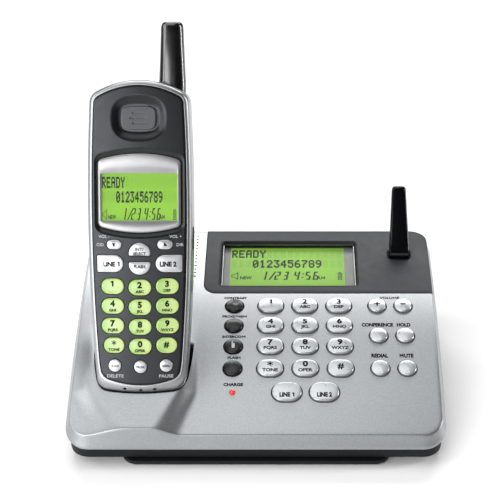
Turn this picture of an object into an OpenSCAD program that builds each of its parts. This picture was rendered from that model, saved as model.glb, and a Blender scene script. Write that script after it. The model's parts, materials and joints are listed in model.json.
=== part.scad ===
// Two-line cordless telephone: a sloping desk base with its own keypad and display,
// and a cordless handset that leans back in the base's charging cradle.
// +X is to the user's right, +Y to the back, +Z up. The origin is the middle of the
// footprint at table level.

/* [Base] */
// Width of the base
base_w = 195; // [190:1:200]
// Depth of the base
base_d = 148; // [147:0.5:149]
// Corner radius of the base in plan
base_corner = 12; // [8:1:16]
// Radius of the convex top surface, seen from the side
top_radius = 408; // [400:1:420]
// Slope of the top surface at its front edge, in degrees
front_slope = 24.7; // [24:0.1:25.5]
// Height of the top surface at its front edge
front_h = 17.6; // [17:0.1:19]
// Depth of the skirt below the edge of the top, square to the top
skirt_h = 5.2; // [4.5:0.1:6]
// Wall thickness of the two base shells
wall = 2.4; // [2:0.1:2.6]
// Height of the lower shell above the table
shell_lift = 2.6; // [2.2:0.1:3.2]

/* [Cradle and handset] */
// Middle of the cradle across the base
cradle_x = -59; // [-60:0.5:-58]
// Lean of the handset back from upright, in degrees
lean = 25; // [24:0.5:26]
// Place of the foot of the handset's front face, from front to back
face_y = -53.3; // [-54:0.1:-52.5]
// Height of the foot of the handset's front face
face_z = 32.3; // [32:0.1:33]
// Width of the handset at its widest place
hs_w = 53.6; // [53:0.2:54]
// Length of the handset's body
hs_len = 160; // [159:0.5:161]
// Thickness of the handset's body
hs_t = 28; // [27.5:0.5:29]
// Wall thickness of the handset's shells
hs_wall = 1.8; // [1.6:0.1:2]
// Gap between the handset and the cradle
cradle_gap = 1; // [0.8:0.1:1.2]

/* [Keys] */
// Spacing of the base's digit keys across
key_dx = 18.45; // [18:0.05:19]
// Spacing of the base's digit keys up the slope
key_ds = 14.6; // [14.4:0.1:15]
// Width of a digit key on the base
key_w = 13.8; // [13:0.1:14]
// Depth of a digit key on the base
key_d = 10.6; // [10:0.1:10.8]
// Diameter of the round keys on the base
round_key_d = 9.6; // [9:0.1:10]
// Gap round every key
key_gap = 0.4; // [0.3:0.05:0.5]
// Height of the base's keys above the surface
key_rise = 1.7; // [1.4:0.1:2]
// Spacing of the handset's digit keys across
hs_key_dx = 13.9; // [13.7:0.1:14.2]
// Spacing of the handset's digit keys along its length
hs_key_dz = 10.1; // [10:0.1:10.3]
// Height of the handset's keys above its face
hs_rise = 1; // [0.8:0.1:1.2]

/* [Antennas] */
// Lean of the base antenna back from upright at rest, in degrees
mast_lean = 32; // [28:1:36]
// Length of the base antenna above its pivot
mast_len = 38; // [36:0.5:41]
// Length of the handset antenna above the top of the handset
stub_len = 30; // [28:1:32]

/* [Hidden] */
// Fineness of round shapes, and of shapes whose rounding is done by hull or offset
$fn = 64;
soft_fn = 32;

// The convex top is an arc about this point, in the Y-Z plane
edge_in = 2;
back_in = 0.3;
ridge_y = -base_d / 2 + 2.2;
arc_y = ridge_y + top_radius * sin(front_slope);
arc_z = front_h - top_radius * cos(front_slope);

// Base keys: distances along the top from its front edge, and places across
row_s = [for (i = [0:3]) 84 - i * key_ds];
col_x = [for (i = [-1:1]) 25.5 + i * key_dx];
line_s = 25.2;
line_x = [15.8, 35.2];
left_keys_x = -12.6;
right_col_x = [64.7, 78.8];
right_row_s = [84, 62.2, 40.2];
line_key = [15.4, 11.4];
lamp_x = -12.4;
lamp_d = 3.4;
flange = 0.9;
flange_t = 1.2;
stem_r = 1.5;
stem_end = 6.2;

// Dark panel over the back of the top, with the display window in it
panel_x0 = -30;
panel_s0 = 94;
panel_corner = 7;
panel_sink = 1.3;
panel_proud = 0.3;
panel_fit = 0.1;
panel_back_s = 170;
window_x = [-20, 53.6];
window_s = [101.4, 138.8];
lens_h = [-3.5, -2.7];
lcd_h = [-7.6, -3.6];
lcd_margin = 2;

// Base electronics
board_s = 54;
board_x = 33;
board_size = [110, 76, 1.6];
board_h = -13.2;
switch_top = -7.4;
switch_r = 2.2;
speaker_s = 118;
speaker_x = -58;
speaker_r = 18;
grille_pitch = 4.2;
grille_hole_r = 0.9;

// Cradle
lip_rise = 4.6;
lip_front_w = 42;
lip_back_w = 57;
lip_back_y = -48;
pocket_half = 24.7;
pocket_floor = -3.2;
pocket_corner = 9;
pocket_wall = 2;
contact_x = 9;
contact_r = 1.4;
contact_h = 6.3;

// Base antenna, on a short barrel in a pocket of the panel
mast_x = 79;
mast_s = 127;
mast_up = 1.4;
barrel_r = 3;
barrel_w = 9.4;
pin_r = 1.1;
pin_fit = 0.06;
mast_pocket = [15, 12, 5.6];
cheek_t = 2.2;
// Blade: width over the cheeks and at the tip, where it widens, thickness, cut at the tip's corners
blade_w = [11.2, 8];
blade_widens = [3.6, 4.6];
blade_t = 4.4;
blade_cut = 1.5;

// Underside
lower_inset = 2;
tongue_inset = 2.7;
plinth_w = 137;
foot_h = 0.6;
foot_r = 6;
foot_spots = [[-58, -63], [58, -63], [-58, 52], [58, 52]];
screw_spots = [[-84, -60], [86, -60], [-84, 62], [86, 62]];
screw_r = 1.6;
screw_head_r = 3;
boss_r = 4;
boss_split = 10;

// Sockets in the back wall
jack_x = [-30, -12];
jack_size = [13.4, 15, 12.4];
jack_mouth = [9.8, 7.4];
jack_deep = 12;
socket_z = 18;
inlet_x = 24;
inlet_r = 2.8;
inlet_deep = 9;
inlet_size = [11, 13, 11];
socket_fit = 0.15;

// Handset layers, as distances behind its front face, and places along its length
hs_z0 = -2;
rim_y = 1.4;
rim_round = 3.6;
rim_inset = 2;
split_y = 13;
face_t = 1.8;
face_inset = 2.7;
ledge_t = 1.4;
hs_mid_z = 94;
hs_side_r = 1050;
hs_end_r = 44;
hs_foot_r = 150;
hs_corner_r = 7;
// The face plate ends in a rounder foot, above a chin of the silver shell
face_foot_r = 45;
face_chin = 1.7;
back_round = 7;
hs_board_y = 7;
hs_board_t = 1.2;
screen_z = [80.6, 120.9];
screen_w = 42;
screen_arch_r = 68;
screen_corner = 3;
lcd_w = 39;
lcd_z = [86.6, 110.9];
ear_z = 138.7;
ear_dish_r = 13.6;
ear_dish_deep = 1.2;
ear_plate = [17.5, 13.2];
ear_plate_y = 0.5;
ear_plate_r = 4.4;
hs_row_z = [for (i = [0:3]) 53.4 - i * hs_key_dz];
hs_key = [11.6, 8];
hs_col_drop = 0.6;
narrow_key_w = 10.6;
narrow_key_x = 13.4;
arrow_x = 12.9;
arrow_z = 74.7;
arrow_key = [7.6, 4.8];
dome_r = 5.5;
select_z = [69, 75.6];
flash_z = [59.3, 65.8];
line_key_z = 65;
line_key_x = [8.2, 21.6];
line_key_h = 8.8;
dot_x = 13.1;
dot_z = 12.6;
dot_d = 6.5;
cover_z = [38, 104];
cover_w = 40;
cover_t = 1.6;
cover_fit = 0.3;
cell_r = 5.2;
cell_z = [46, 94];
cell_y = 20.6;
stub_x = 15.9;
stub_y = 19.6;
stub_foot = [14.2, 11.6];
stub_top = [11.6, 9.6];
stub_z0 = 146;
plug_z = [71.5, 82.9];
plug_y = [6.6, 12.4];
plug_x = [24.9, 27];
plug_fit = 0.25;

DIGITS = ["1", "2", "3", "4", "5", "6", "7", "8", "9", "star", "0", "pound"];

// ---------------------------------------------------------------- placing

// Slope of the top surface at distance s from its front edge
function slope_at(s) = front_slope - s / top_radius * 180 / PI;

// Where the top surface is from front to back at distance s
function top_y(s) = arc_y - top_radius * sin(slope_at(s));

// Puts children on the top surface, with +Z square to it
module on_top(x, s) {
    a = slope_at(s);
    translate([x, top_y(s), arc_z + top_radius * cos(a)]) rotate([a, 0, 0]) children();
}

// Puts children in the handset: +Z along its length, +Y towards its back
module in_handset() {
    translate([cradle_x, face_y, face_z]) rotate([-lean, 0, 0]) children();
}

// Turns an outline in X-Z into a plate between the depths y0 and y1
module plate(y0, y1) {
    translate([0, y1, 0]) rotate([90, 0, 0]) linear_extrude(y1 - y0) children();
}

// ---------------------------------------------------------------- shared shapes

// Straight-sided outline with fully round ends
module stadium(w, d) {
    square([w - d, d], center = true);
    for (side = [-1, 1]) translate([side * (w - d) / 2, 0]) circle(d = d);
}

// Rectangle with rounded corners
module round_rect(w, d, r) {
    square([w - 2 * r, d], center = true);
    square([w, d - 2 * r], center = true);
    for (x = [-1, 1], y = [-1, 1]) translate([x * (w / 2 - r), y * (d / 2 - r)]) circle(r);
}

// Outline of a key: a circle where the width equals the depth
module key_outline(size, grow = 0) {
    w = size[0] + 2 * grow;
    d = size[1] + 2 * grow;
    if (w > d) stadium(w, d);
    else circle(d = d);
}

// Upright block with the base's outline in plan, drawn in by inset
module base_block(inset) {
    linear_extrude(80) round_rect(base_w - 2 * inset, base_d - 2 * inset, base_corner - inset);
}

// Upright block round the top surface: drawn in at the front and sides, less so at the back
module crown_block() {
    linear_extrude(80) translate([0, (edge_in - back_in) / 2])
        round_rect(base_w - 2 * edge_in, base_d - edge_in - back_in, base_corner - edge_in);
}

// Everything below the convex top when that is moved by h, between x0 and x1
module under_top(h, x0 = -base_w, x1 = base_w) {
    translate([x0, 0, 0]) rotate([90, 0, 90]) linear_extrude(x1 - x0) intersection() {
        translate([arc_y, arc_z]) circle(top_radius + h, $fn = 360);
        translate([-base_d, 0]) square([2 * base_d, 80]);
    }
}

// Plan of the dark panel, running past the base's right and back edges
module panel_plan(inset = 0) {
    w = base_w - panel_x0;
    d = base_d;
    translate([panel_x0 + w / 2, top_y(panel_s0) + d / 2])
        round_rect(w - 2 * inset, d - 2 * inset, panel_corner);
}

// A layer that follows the top between heights h0 and h1 and distances s0 and s1
module top_layer(x0, x1, s0, s1, h0, h1) {
    intersection() {
        difference() {
            under_top(h1, x0, x1);
            under_top(h0, x0 - 1, x1 + 1);
        }
        translate([x0 - 1, top_y(s0), 0]) cube([x1 - x0 + 2, top_y(s1) - top_y(s0), 90]);
    }
}

// ---------------------------------------------------------------- base housing

// The space that the foot of the handset stands in, grown by its wall for the outside
module cradle_pocket(grow = 0) {
    in_handset() translate([0, hs_t / 2, pocket_floor - grow]) linear_extrude(70)
        round_rect(2 * (pocket_half + cradle_gap + grow), hs_t + 2 * (cradle_gap + grow),
            pocket_corner + grow);
}

// The raised lip in front of the handset, widening towards the cradle
module cradle_lip() {
    intersection() {
        under_top(lip_rise);
        translate([cradle_x, 0, 0]) linear_extrude(60) polygon([
            [-lip_front_w / 2, -base_d / 2 + edge_in], [lip_front_w / 2, -base_d / 2 + edge_in],
            [lip_back_w / 2, lip_back_y], [-lip_back_w / 2, lip_back_y]
        ]);
    }
}

module at_digit(i) {
    on_top(col_x[i % 3], row_s[floor(i / 3)]) children();
}

// Cuts the holes for all of the base's keys
module base_key_holes() {
    for (i = [0:11]) at_digit(i) key_hole([key_w, key_d]);
    for (s = row_s) on_top(left_keys_x, s) key_hole([round_key_d, round_key_d]);
    for (x = right_col_x, s = right_row_s) on_top(x, s) key_hole([round_key_d, round_key_d]);
    for (x = line_x) on_top(x, line_s) key_hole(line_key);
}

module key_hole(size) {
    translate([0, 0, -6]) linear_extrude(12) key_outline(size, key_gap);
}

// A round field of small holes over the loudspeaker
module grille_holes() {
    n = floor(speaker_r / grille_pitch);
    for (i = [-n:n], j = [-n:n])
        if (norm([i, j]) * grille_pitch < speaker_r - 1.5)
            on_top(speaker_x + i * grille_pitch, speaker_s + j * grille_pitch)
                translate([0, 0, -6]) cylinder(h = 12, r = grille_hole_r, $fn = 16);
}

module contact_spots() {
    in_handset() for (side = [-1, 1]) translate([side * contact_x, hs_t / 2, 0]) children();
}

module screw_posts(r, z0, z1) {
    for (spot = screw_spots) translate([spot[0], spot[1], z0]) cylinder(h = z1 - z0, r = r);
}

module base_top_shell() {
    color("silver") difference() {
        union() {
            difference() {
                union() {
                    intersection() {
                        under_top(-1.2);
                        base_block(0);
                    }
                    intersection() {
                        under_top(0);
                        crown_block();
                    }
                    cradle_lip();
                }
                intersection() {
                    under_top(-wall);
                    base_block(wall);
                }
                under_top(-skirt_h);
            }
            intersection() {
                cradle_pocket(pocket_wall);
                under_top(-wall / 2);
            }
            intersection() {
                screw_posts(boss_r, boss_split, 80);
                under_top(-wall / 2);
            }
        }
        cradle_pocket();
        base_key_holes();
        grille_holes();
        on_top(lamp_x, line_s) translate([0, 0, -6]) cylinder(h = 12, d = lamp_d + 0.2);
        difference() {
            linear_extrude(80) panel_plan();
            under_top(-panel_sink);
        }
        top_layer(window_x[0], window_x[1], window_s[0], window_s[1], -9, 9);
        mast_hollow();
        contact_spots() translate([0, 0, pocket_floor - 6]) cylinder(h = 9, r = contact_r + 0.2);
        screw_posts(screw_r + 0.05, boss_split - 1, boss_split + 8);
    }
}

module base_lower_shell() {
    color("dimgray") difference() {
        union() {
            intersection() {
                under_top(-skirt_h - 0.3);
                base_block(lower_inset);
            }
            intersection() {
                under_top(-wall - 0.3);
                base_block(tongue_inset);
            }
        }
        difference() {
            intersection() {
                under_top(-wall);
                translate([0, 0, shell_lift + wall]) base_block(tongue_inset + wall);
            }
            screw_posts(boss_r, 0, boss_split);
        }
        translate([-base_w, -base_d, -1]) cube([2 * base_w, 2 * base_d, shell_lift + 1]);
        intersection() {
            cradle_pocket(pocket_wall + 0.4);
            under_top(0);
        }
        screw_posts(screw_r + 0.2, 0, boss_split + 1);
        screw_posts(screw_head_r + 0.2, 0, shell_lift + 2.2);
        for (x = jack_x) translate([x, base_d / 2, socket_z]) cube([
            jack_size[0] + 2 * socket_fit, 30, jack_size[2] + 2 * socket_fit], center = true);
        translate([inlet_x, base_d / 2, socket_z]) cube([
            inlet_size[0] + 2 * socket_fit, 30, inlet_size[2] + 2 * socket_fit], center = true);
    }
}

// Low plinth under the lower shell, which carries the feet
module base_plinth() {
    color("dimgray") difference() {
        translate([0, (foot_spots[0][1] + foot_spots[2][1]) / 2 - 0.4, foot_h])
            linear_extrude(shell_lift - foot_h) round_rect(plinth_w, 136, 8);
        for (spot = foot_spots) translate([spot[0], spot[1], 0])
            cylinder(h = foot_h + 0.8, r = foot_r + 0.1);
    }
}

module rubber_feet() {
    color("black") for (spot = foot_spots) translate([spot[0], spot[1], 0])
        cylinder(h = foot_h + 0.75, r = foot_r);
}

module base_screws() {
    color("gray") for (spot = screw_spots) translate([spot[0], spot[1], shell_lift + 0.2])
        difference() {
            union() {
                cylinder(h = 1.9, r = screw_head_r);
                cylinder(h = boss_split + 3, r = screw_r);
            }
            for (turn = [0, 90]) rotate([0, 0, turn]) cube([3.6, 0.8, 1.6], center = true);
        }
}

// The hollow for the antenna's barrel and its two cheeks
module mast_hollow() {
    on_top(mast_x, mast_s) translate([0, 0, -mast_pocket[2]]) linear_extrude(14)
        square([mast_pocket[0], mast_pocket[1]], center = true);
}

// Panel with a cheek on each side of the antenna's barrel, joined by the pivot pin
module display_panel() {
    color("#33363a") {
        difference() {
            intersection() {
                top_layer(panel_x0, base_w, panel_s0, panel_back_s, -panel_sink, panel_proud);
                linear_extrude(80) panel_plan(panel_fit);
                crown_block();
            }
            top_layer(window_x[0], window_x[1], window_s[0], window_s[1], -9, 9);
            on_top(mast_x, mast_s) translate([0, 0, -5])
                linear_extrude(14) square([barrel_w + 0.8, mast_pocket[1]], center = true);
        }
        on_top(mast_x, mast_s) {
            for (side = [-1, 1]) translate([side * (mast_pocket[0] / 2 - cheek_t / 2 - 0.05), 0, 0])
                mast_cheek();
            translate([-mast_pocket[0] / 2 + 1, 0, mast_up]) rotate([0, 90, 0])
                cylinder(h = mast_pocket[0] - 2, r = pin_r);
        }
    }
}

module mast_cheek() {
    rotate([0, 90, 0]) translate([0, 0, -cheek_t / 2]) linear_extrude(cheek_t) {
        translate([-mast_up, 0]) circle(barrel_r);
        square([2 * mast_up, 2 * barrel_r], center = true);
        translate([2.5, 0]) square([5, mast_pocket[1] - 1], center = true);
    }
}

// Tapering blade on a barrel that turns on the pivot pin
module base_antenna() {
    color("#1c1d1f") on_top(mast_x, mast_s) translate([0, 0, mast_up])
        rotate([-slope_at(mast_s) - mast_lean, 0, 0]) difference() {
            union() {
                rotate([0, 90, 0]) cylinder(h = barrel_w, r = barrel_r, center = true);
                rotate([90, 0, 0]) linear_extrude(blade_t, center = true)
                    for (side = [0, 1]) mirror([side, 0]) polygon([
                        [-0.1, 0], [barrel_w / 2, 0], [barrel_w / 2, blade_widens[0]],
                        [blade_w[0] / 2, blade_widens[1]], [blade_w[1] / 2, mast_len - blade_cut],
                        [blade_w[1] / 2 - blade_cut, mast_len], [-0.1, mast_len]
                    ]);
            }
            rotate([0, 90, 0]) cylinder(h = barrel_w + 2, r = pin_r + pin_fit, center = true);
        }
}

// ---------------------------------------------------------------- base display and works

module base_lens() {
    color("#c8d8a0") top_layer(window_x[0] + 0.2, window_x[1] - 0.2, window_s[0] + 0.2,
        window_s[1] - 0.2, lens_h[0], lens_h[1]);
}

// Display module: a flat block whose face shows in the window
module base_display() {
    w = window_x[1] - window_x[0];
    d = window_s[1] - window_s[0];
    color("yellowgreen") on_top((window_x[0] + window_x[1]) / 2, (window_s[0] + window_s[1]) / 2)
        translate([-w / 2 - lcd_margin, -d / 2 - lcd_margin, lcd_h[0]])
        cube([w + 2 * lcd_margin, d + 2 * lcd_margin, lcd_h[1] - lcd_h[0] - 0.5]);
}

// Board tilted under the keypad, with a switch below each key
module base_circuit_board() {
    color("darkgreen") {
        on_top(board_x, board_s) translate([0, 0, board_h])
            cube(board_size, center = true);
        for (i = [0:11]) at_digit(i) switch_post();
        for (s = row_s) on_top(left_keys_x, s) switch_post();
        for (x = right_col_x, s = right_row_s) on_top(x, s) switch_post();
        for (x = line_x) on_top(x, line_s) switch_post();
    }
}

module switch_post() {
    translate([0, 0, board_h + 0.4]) cylinder(h = switch_top - board_h - 0.4, r = switch_r);
}

module base_speaker() {
    color("gray") on_top(speaker_x, speaker_s) {
        translate([0, 0, -6]) difference() {
            cylinder(h = 3, r = speaker_r);
            translate([0, 0, 1]) cylinder(h = 3, r1 = 6, r2 = speaker_r - 1);
        }
        translate([0, 0, -13]) cylinder(h = 7.2, r = 10);
    }
}

// Two sprung pins that touch the handset's charging pads
module cradle_contacts() {
    color("gold") contact_spots() {
        translate([0, 0, pocket_floor - 5]) cylinder(h = contact_h, r = contact_r);
        translate([0, 0, pocket_floor - 5]) cylinder(h = 2, r = contact_r + 1);
    }
}

module charge_lamp() {
    color("red") on_top(lamp_x, line_s) {
        translate([0, 0, -4]) cylinder(h = 4, d = lamp_d);
        sphere(d = lamp_d - 0.6);
        translate([0, 0, -5]) cylinder(h = 2, d = lamp_d + 1);
    }
}

// Two telephone-line sockets side by side, each with a rectangular mouth
module line_jacks() {
    color("#26282a") for (x = jack_x) {
        translate([x, base_d / 2 - lower_inset - jack_size[1], socket_z - jack_size[2] / 2])
            difference() {
                translate([-jack_size[0] / 2, 0, 0]) cube(jack_size);
                translate([-jack_mouth[0] / 2, jack_size[1] - jack_deep, 2.2])
                    cube([jack_mouth[0], jack_deep + 1, jack_mouth[1]]);
            }
    }
}

module power_inlet() {
    color("#1a1a1a") translate([inlet_x, base_d / 2 - lower_inset - inlet_size[1], socket_z])
        difference() {
            translate([-inlet_size[0] / 2, 0, -inlet_size[2] / 2]) cube(inlet_size);
            translate([0, inlet_size[1] - inlet_deep, 0]) rotate([-90, 0, 0])
                cylinder(h = inlet_deep + 1, r = inlet_r);
        }
}

// ---------------------------------------------------------------- base keys

// A key cap with a flange below the shell and a stem above its switch
module base_key(size) {
    translate([0, 0, -wall - 0.3]) linear_extrude(key_rise + wall + 0.3) key_outline(size);
    translate([0, 0, -wall - 0.3 - flange_t]) linear_extrude(flange_t) key_outline(size, flange);
    translate([0, 0, -stem_end]) cylinder(h = stem_end - wall - 0.4, r = stem_r);
}

module base_digit_key(i) {
    color("lightgray") at_digit(i) base_key([key_w, key_d]);
}

module left_key(row) {
    color("#3a3c3e") on_top(left_keys_x, row_s[row]) base_key([round_key_d, round_key_d]);
}

module right_key(col, row) {
    color("gainsboro") on_top(right_col_x[col], right_row_s[row])
        base_key([round_key_d, round_key_d]);
}

module base_line_key(i) {
    color("lightgray") on_top(line_x[i], line_s) base_key(line_key);
}

// ---------------------------------------------------------------- handset housing

// Front view of the handset: slightly barrelled sides, an arched top and a flatter foot
module handset_outline(inset = 0, foot_r = hs_foot_r, chin = 0) {
    reach = hs_side_r - hs_w / 2;
    foot_z = hs_z0 + chin;
    offset(r = hs_corner_r, $fn = soft_fn) offset(delta = -hs_corner_r - inset) intersection() {
        translate([reach, hs_mid_z]) circle(hs_side_r, $fn = 720);
        translate([-reach, hs_mid_z]) circle(hs_side_r, $fn = 720);
        hull() {
            translate([0, hs_z0 + hs_len - hs_end_r]) circle(hs_end_r, $fn = 120);
            intersection() {
                translate([0, foot_z + foot_r]) circle(foot_r, $fn = 360);
                translate([-hs_end_r, foot_z]) square([2 * hs_end_r, foot_r / 3]);
            }
        }
    }
}

module face_outline(inset) {
    handset_outline(inset, face_foot_r, face_chin);
}

// Arched outline of the screen's frame
module screen_outline(grow = 0) {
    mid_z = (screen_z[0] + screen_z[1]) / 2;
    half = (screen_z[1] - screen_z[0]) / 2;
    offset(r = screen_corner + grow, $fn = soft_fn) offset(delta = -screen_corner)
        intersection() {
            translate([0, mid_z]) square([screen_w, 2 * half], center = true);
            for (side = [-1, 1]) translate([0, mid_z + side * (half - screen_arch_r)])
                circle(screen_arch_r, $fn = 180);
        }
}

// Column i and row j of the handset's digit keys: place and width
function digit_x(i, j) = (i - 1) * (j == 3 && i != 1 ? narrow_key_x : hs_key_dx);
function digit_z(i, j) = hs_row_z[j] - (i == 1 ? hs_col_drop : 0);
function digit_w(i, j) = j == 3 && i != 1 ? narrow_key_w : hs_key[0];

module digit_outlines(grow = 0) {
    for (i = [0:2], j = [0:3]) translate([digit_x(i, j), digit_z(i, j)])
        key_outline([digit_w(i, j), hs_key[1]], grow);
}

module arrow_outline(side, grow = 0) {
    translate([side * arrow_x, arrow_z]) key_outline(arrow_key, grow);
}

// Half-round key: the dome points up for dir 1 and down for dir -1
module dome_outline(z, dir, grow = 0) {
    centre = dir > 0 ? z[1] - dome_r : z[0] + dome_r;
    intersection() {
        translate([0, centre]) circle(dome_r + grow);
        translate([-dome_r - 1, z[0] - grow]) square([2 * dome_r + 2, z[1] - z[0] + 2 * grow]);
    }
}

// Line key: square at the outer end, round at the inner end
module line_key_outline(side, grow = 0) {
    r = line_key_h / 2;
    mirror([side < 0 ? 1 : 0, 0]) translate([0, line_key_z]) {
        translate([line_key_x[0] + r, 0]) circle(r + grow);
        translate([line_key_x[0] + r, -r - grow])
            square([line_key_x[1] - line_key_x[0] - r + grow, 2 * (r + grow)]);
    }
}

module dot_outline(i, grow = 0) {
    translate([(i - 1) * dot_x, dot_z - (i == 1 ? hs_col_drop : 0)]) circle(dot_d / 2 + grow);
}

// All of the openings that the handset's keys pass through
module handset_key_outlines(grow) {
    digit_outlines(grow);
    for (side = [-1, 1]) {
        arrow_outline(side, grow);
        line_key_outline(side, grow);
    }
    dome_outline(select_z, 1, grow);
    dome_outline(flash_z, -1, grow);
    for (i = [0:2]) dot_outline(i, grow);
}

// Space for the foot of the handset's antenna, through both shells
module stub_space(grow) {
    translate([stub_x - stub_foot[0] / 2 - grow, stub_y - stub_foot[1] / 2 - grow, stub_z0 - grow])
        cube([stub_foot[0] + 2 * grow, stub_foot[1] + 2 * grow, 30]);
}

module plug_space(grow) {
    translate([plug_x[0] - 2 * grow, plug_y[0] - grow, plug_z[0] - grow])
        cube([6, plug_y[1] - plug_y[0] + 2 * grow, plug_z[1] - plug_z[0] + 2 * grow]);
}

module handset_front_shell() {
    color("silver") in_handset() difference() {
        hull() {
            plate(rim_y, rim_y + 0.1) handset_outline(rim_inset);
            plate(rim_y + rim_round, split_y) handset_outline();
        }
        plate(rim_y - 1, face_t + 0.05) face_outline(face_inset - 0.1);
        plate(rim_y - 1, split_y) face_outline(face_inset + ledge_t);
        plate(face_t + ledge_t, split_y + 1) handset_outline(hs_wall);
        plug_space(plug_fit);
        stub_space(plug_fit);
    }
}

// Dark front plate with openings for the keys and the screen, and a dished earpiece
module handset_face_plate() {
    color("#3a3c40") in_handset() {
        difference() {
            plate(0, face_t) face_outline(face_inset);
            plate(-1, split_y) handset_key_outlines(key_gap);
            plate(-1, split_y) screen_outline(0.1);
            translate([0, ear_dish_deep, ear_z]) rotate([90, 0, 0])
                cylinder(h = ear_dish_deep + 0.1, r1 = ear_dish_r - 4, r2 = ear_dish_r);
        }
        plate(ear_plate_y, face_t) translate([0, ear_z])
            round_rect(ear_plate[0], ear_plate[1], ear_plate_r);
    }
}

module handset_back_shell() {
    color("#8d9094") in_handset() difference() {
        hull() {
            plate(split_y + 0.05, hs_t - back_round) handset_outline();
            plate(hs_t - 0.1, hs_t) handset_outline(back_round);
        }
        hull() {
            plate(split_y - 1, hs_t - back_round - 0.5) handset_outline(hs_wall);
            plate(hs_t - hs_wall - 0.2, hs_t - hs_wall) handset_outline(back_round);
        }
        translate([-cover_w / 2 - cover_fit, hs_t - hs_wall - 1, cover_z[0] - cover_fit])
            cube([cover_w + 2 * cover_fit, 5, cover_z[1] - cover_z[0] + 2 * cover_fit]);
        stub_space(plug_fit);
    }
}

module battery_cover() {
    color("#84878b") in_handset() intersection() {
        translate([-cover_w / 2, hs_t - cover_t, cover_z[0]])
            cube([cover_w, cover_t, cover_z[1] - cover_z[0]]);
        hull() {
            plate(split_y, hs_t - back_round) handset_outline();
            plate(hs_t - 0.1, hs_t) handset_outline(back_round);
        }
    }
}

// Three cells side by side, held by a band between them
module battery_pack() {
    pitch = 2 * cell_r - 0.2;
    color("royalblue") in_handset() {
        for (i = [-1:1]) translate([i * pitch, cell_y, cell_z[0]])
            cylinder(h = cell_z[1] - cell_z[0], r = cell_r);
        translate([-pitch, cell_y - cell_r + 1, cell_z[0] + 2])
            cube([2 * pitch, 2 * cell_r - 2, cell_z[1] - cell_z[0] - 4]);
    }
}

module handset_screen_frame() {
    color("gainsboro") in_handset() difference() {
        plate(0.7, face_t + 0.4) screen_outline();
        translate([-lcd_w / 2, -1, lcd_z[0]]) cube([lcd_w, 5, lcd_z[1] - lcd_z[0]]);
    }
}

module handset_display() {
    color("yellowgreen") in_handset() translate([-lcd_w / 2 - 1, face_t + 0.4, lcd_z[0] - 1])
        cube([lcd_w + 2, 2.6, lcd_z[1] - lcd_z[0] + 2]);
}

module handset_circuit_board() {
    color("darkgreen") in_handset() {
        plate(hs_board_y, hs_board_y + hs_board_t) intersection() {
            handset_outline(3.4);
            translate([0, 76]) square([60, 136], center = true);
        }
        translate([-11, hs_board_y - 1.8, lcd_z[0]]) cube([22, 2, 10]);
    }
}

module earpiece_speaker() {
    color("gray") in_handset() translate([0, hs_board_y - 0.4, ear_z]) rotate([90, 0, 0]) {
        cylinder(h = 3.6, r = 11);
        cylinder(h = 4.4, r = 8);
    }
}

// Stub antenna: an oblong foot in the shoulder of the handset, tapering to a rounded top
module handset_antenna() {
    top = hs_z0 + hs_len + stub_len;
    color("#141516") in_handset() {
        translate([stub_x, stub_y, stub_z0]) linear_extrude(6)
            square([stub_foot[0] - 3, stub_foot[1] - 3], center = true);
        hull() {
            translate([stub_x, stub_y, stub_z0 + 3]) linear_extrude(9)
                round_rect(stub_foot[0], stub_foot[1], 3, $fn = soft_fn);
            translate([stub_x, stub_y, top - 2]) linear_extrude(1)
                round_rect(stub_top[0], stub_top[1], 3, $fn = soft_fn);
            translate([stub_x, stub_y, top - 1]) linear_extrude(1)
                round_rect(stub_top[0] - 2, stub_top[1] - 2, 3, $fn = soft_fn);
        }
    }
}

// Soft cover over the headset socket in the handset's side, hinged at its foot
module headset_jack_cover() {
    color("#26282a") in_handset() translate([plug_x[0], plug_y[0], plug_z[0]])
        cube([plug_x[1] - plug_x[0], plug_y[1] - plug_y[0], plug_z[1] - plug_z[0]]);
}

// ---------------------------------------------------------------- handset keys

// Turns an outline into a key: a cap above the face and a wider foot below it
module handset_key() {
    in_handset() {
        plate(-hs_rise, face_t + 0.3) children(0);
        plate(face_t + 0.25, face_t + 1.6) children(1);
    }
}

module handset_digit_keys() {
    color("yellowgreen") handset_key() {
        digit_outlines();
        digit_outlines(flange);
    }
}

module arrow_key_of(side) {
    color("gainsboro") handset_key() {
        arrow_outline(side);
        arrow_outline(side, flange);
    }
}

module dome_key_of(z, dir) {
    color("gainsboro") handset_key() {
        dome_outline(z, dir);
        dome_outline(z, dir, flange);
    }
}

module line_key_of(side) {
    color("gainsboro") handset_key() {
        line_key_outline(side);
        line_key_outline(side, flange / 2);
    }
}

module dot_key_of(i) {
    color("gainsboro") handset_key() {
        dot_outline(i);
        dot_outline(i, flange);
    }
}

// ---------------------------------------------------------------- assembly

base_top_shell();
base_lower_shell();
base_plinth();
rubber_feet();
base_screws();
display_panel();
base_display();
base_lens();
base_circuit_board();
base_speaker();
cradle_contacts();
charge_lamp();
base_antenna();
line_jacks();
power_inlet();
for (i = [0:11]) base_digit_key(i);
left_key(0);  // contrast_key
left_key(1);  // program_key
left_key(2);  // intercom_key
left_key(3);  // speaker_flash_key
right_key(0, 0);  // volume_up_key
right_key(1, 0);  // volume_down_key
right_key(0, 1);  // conference_key
right_key(1, 1);  // base_hold_key
right_key(0, 2);  // base_redial_key
right_key(1, 2);  // mute_key
base_line_key(0);  // base_line_1_key
base_line_key(1);  // base_line_2_key
handset_front_shell();
handset_face_plate();
handset_back_shell();
handset_screen_frame();
handset_display();
handset_circuit_board();
earpiece_speaker();
handset_antenna();
headset_jack_cover();
battery_cover();
battery_pack();
handset_digit_keys();
arrow_key_of(-1);  // handset_volume_down_key
arrow_key_of(1);  // handset_volume_up_key
dome_key_of(select_z, 1);  // select_key
dome_key_of(flash_z, -1);  // flash_key
line_key_of(-1);  // handset_line_1_key
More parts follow.
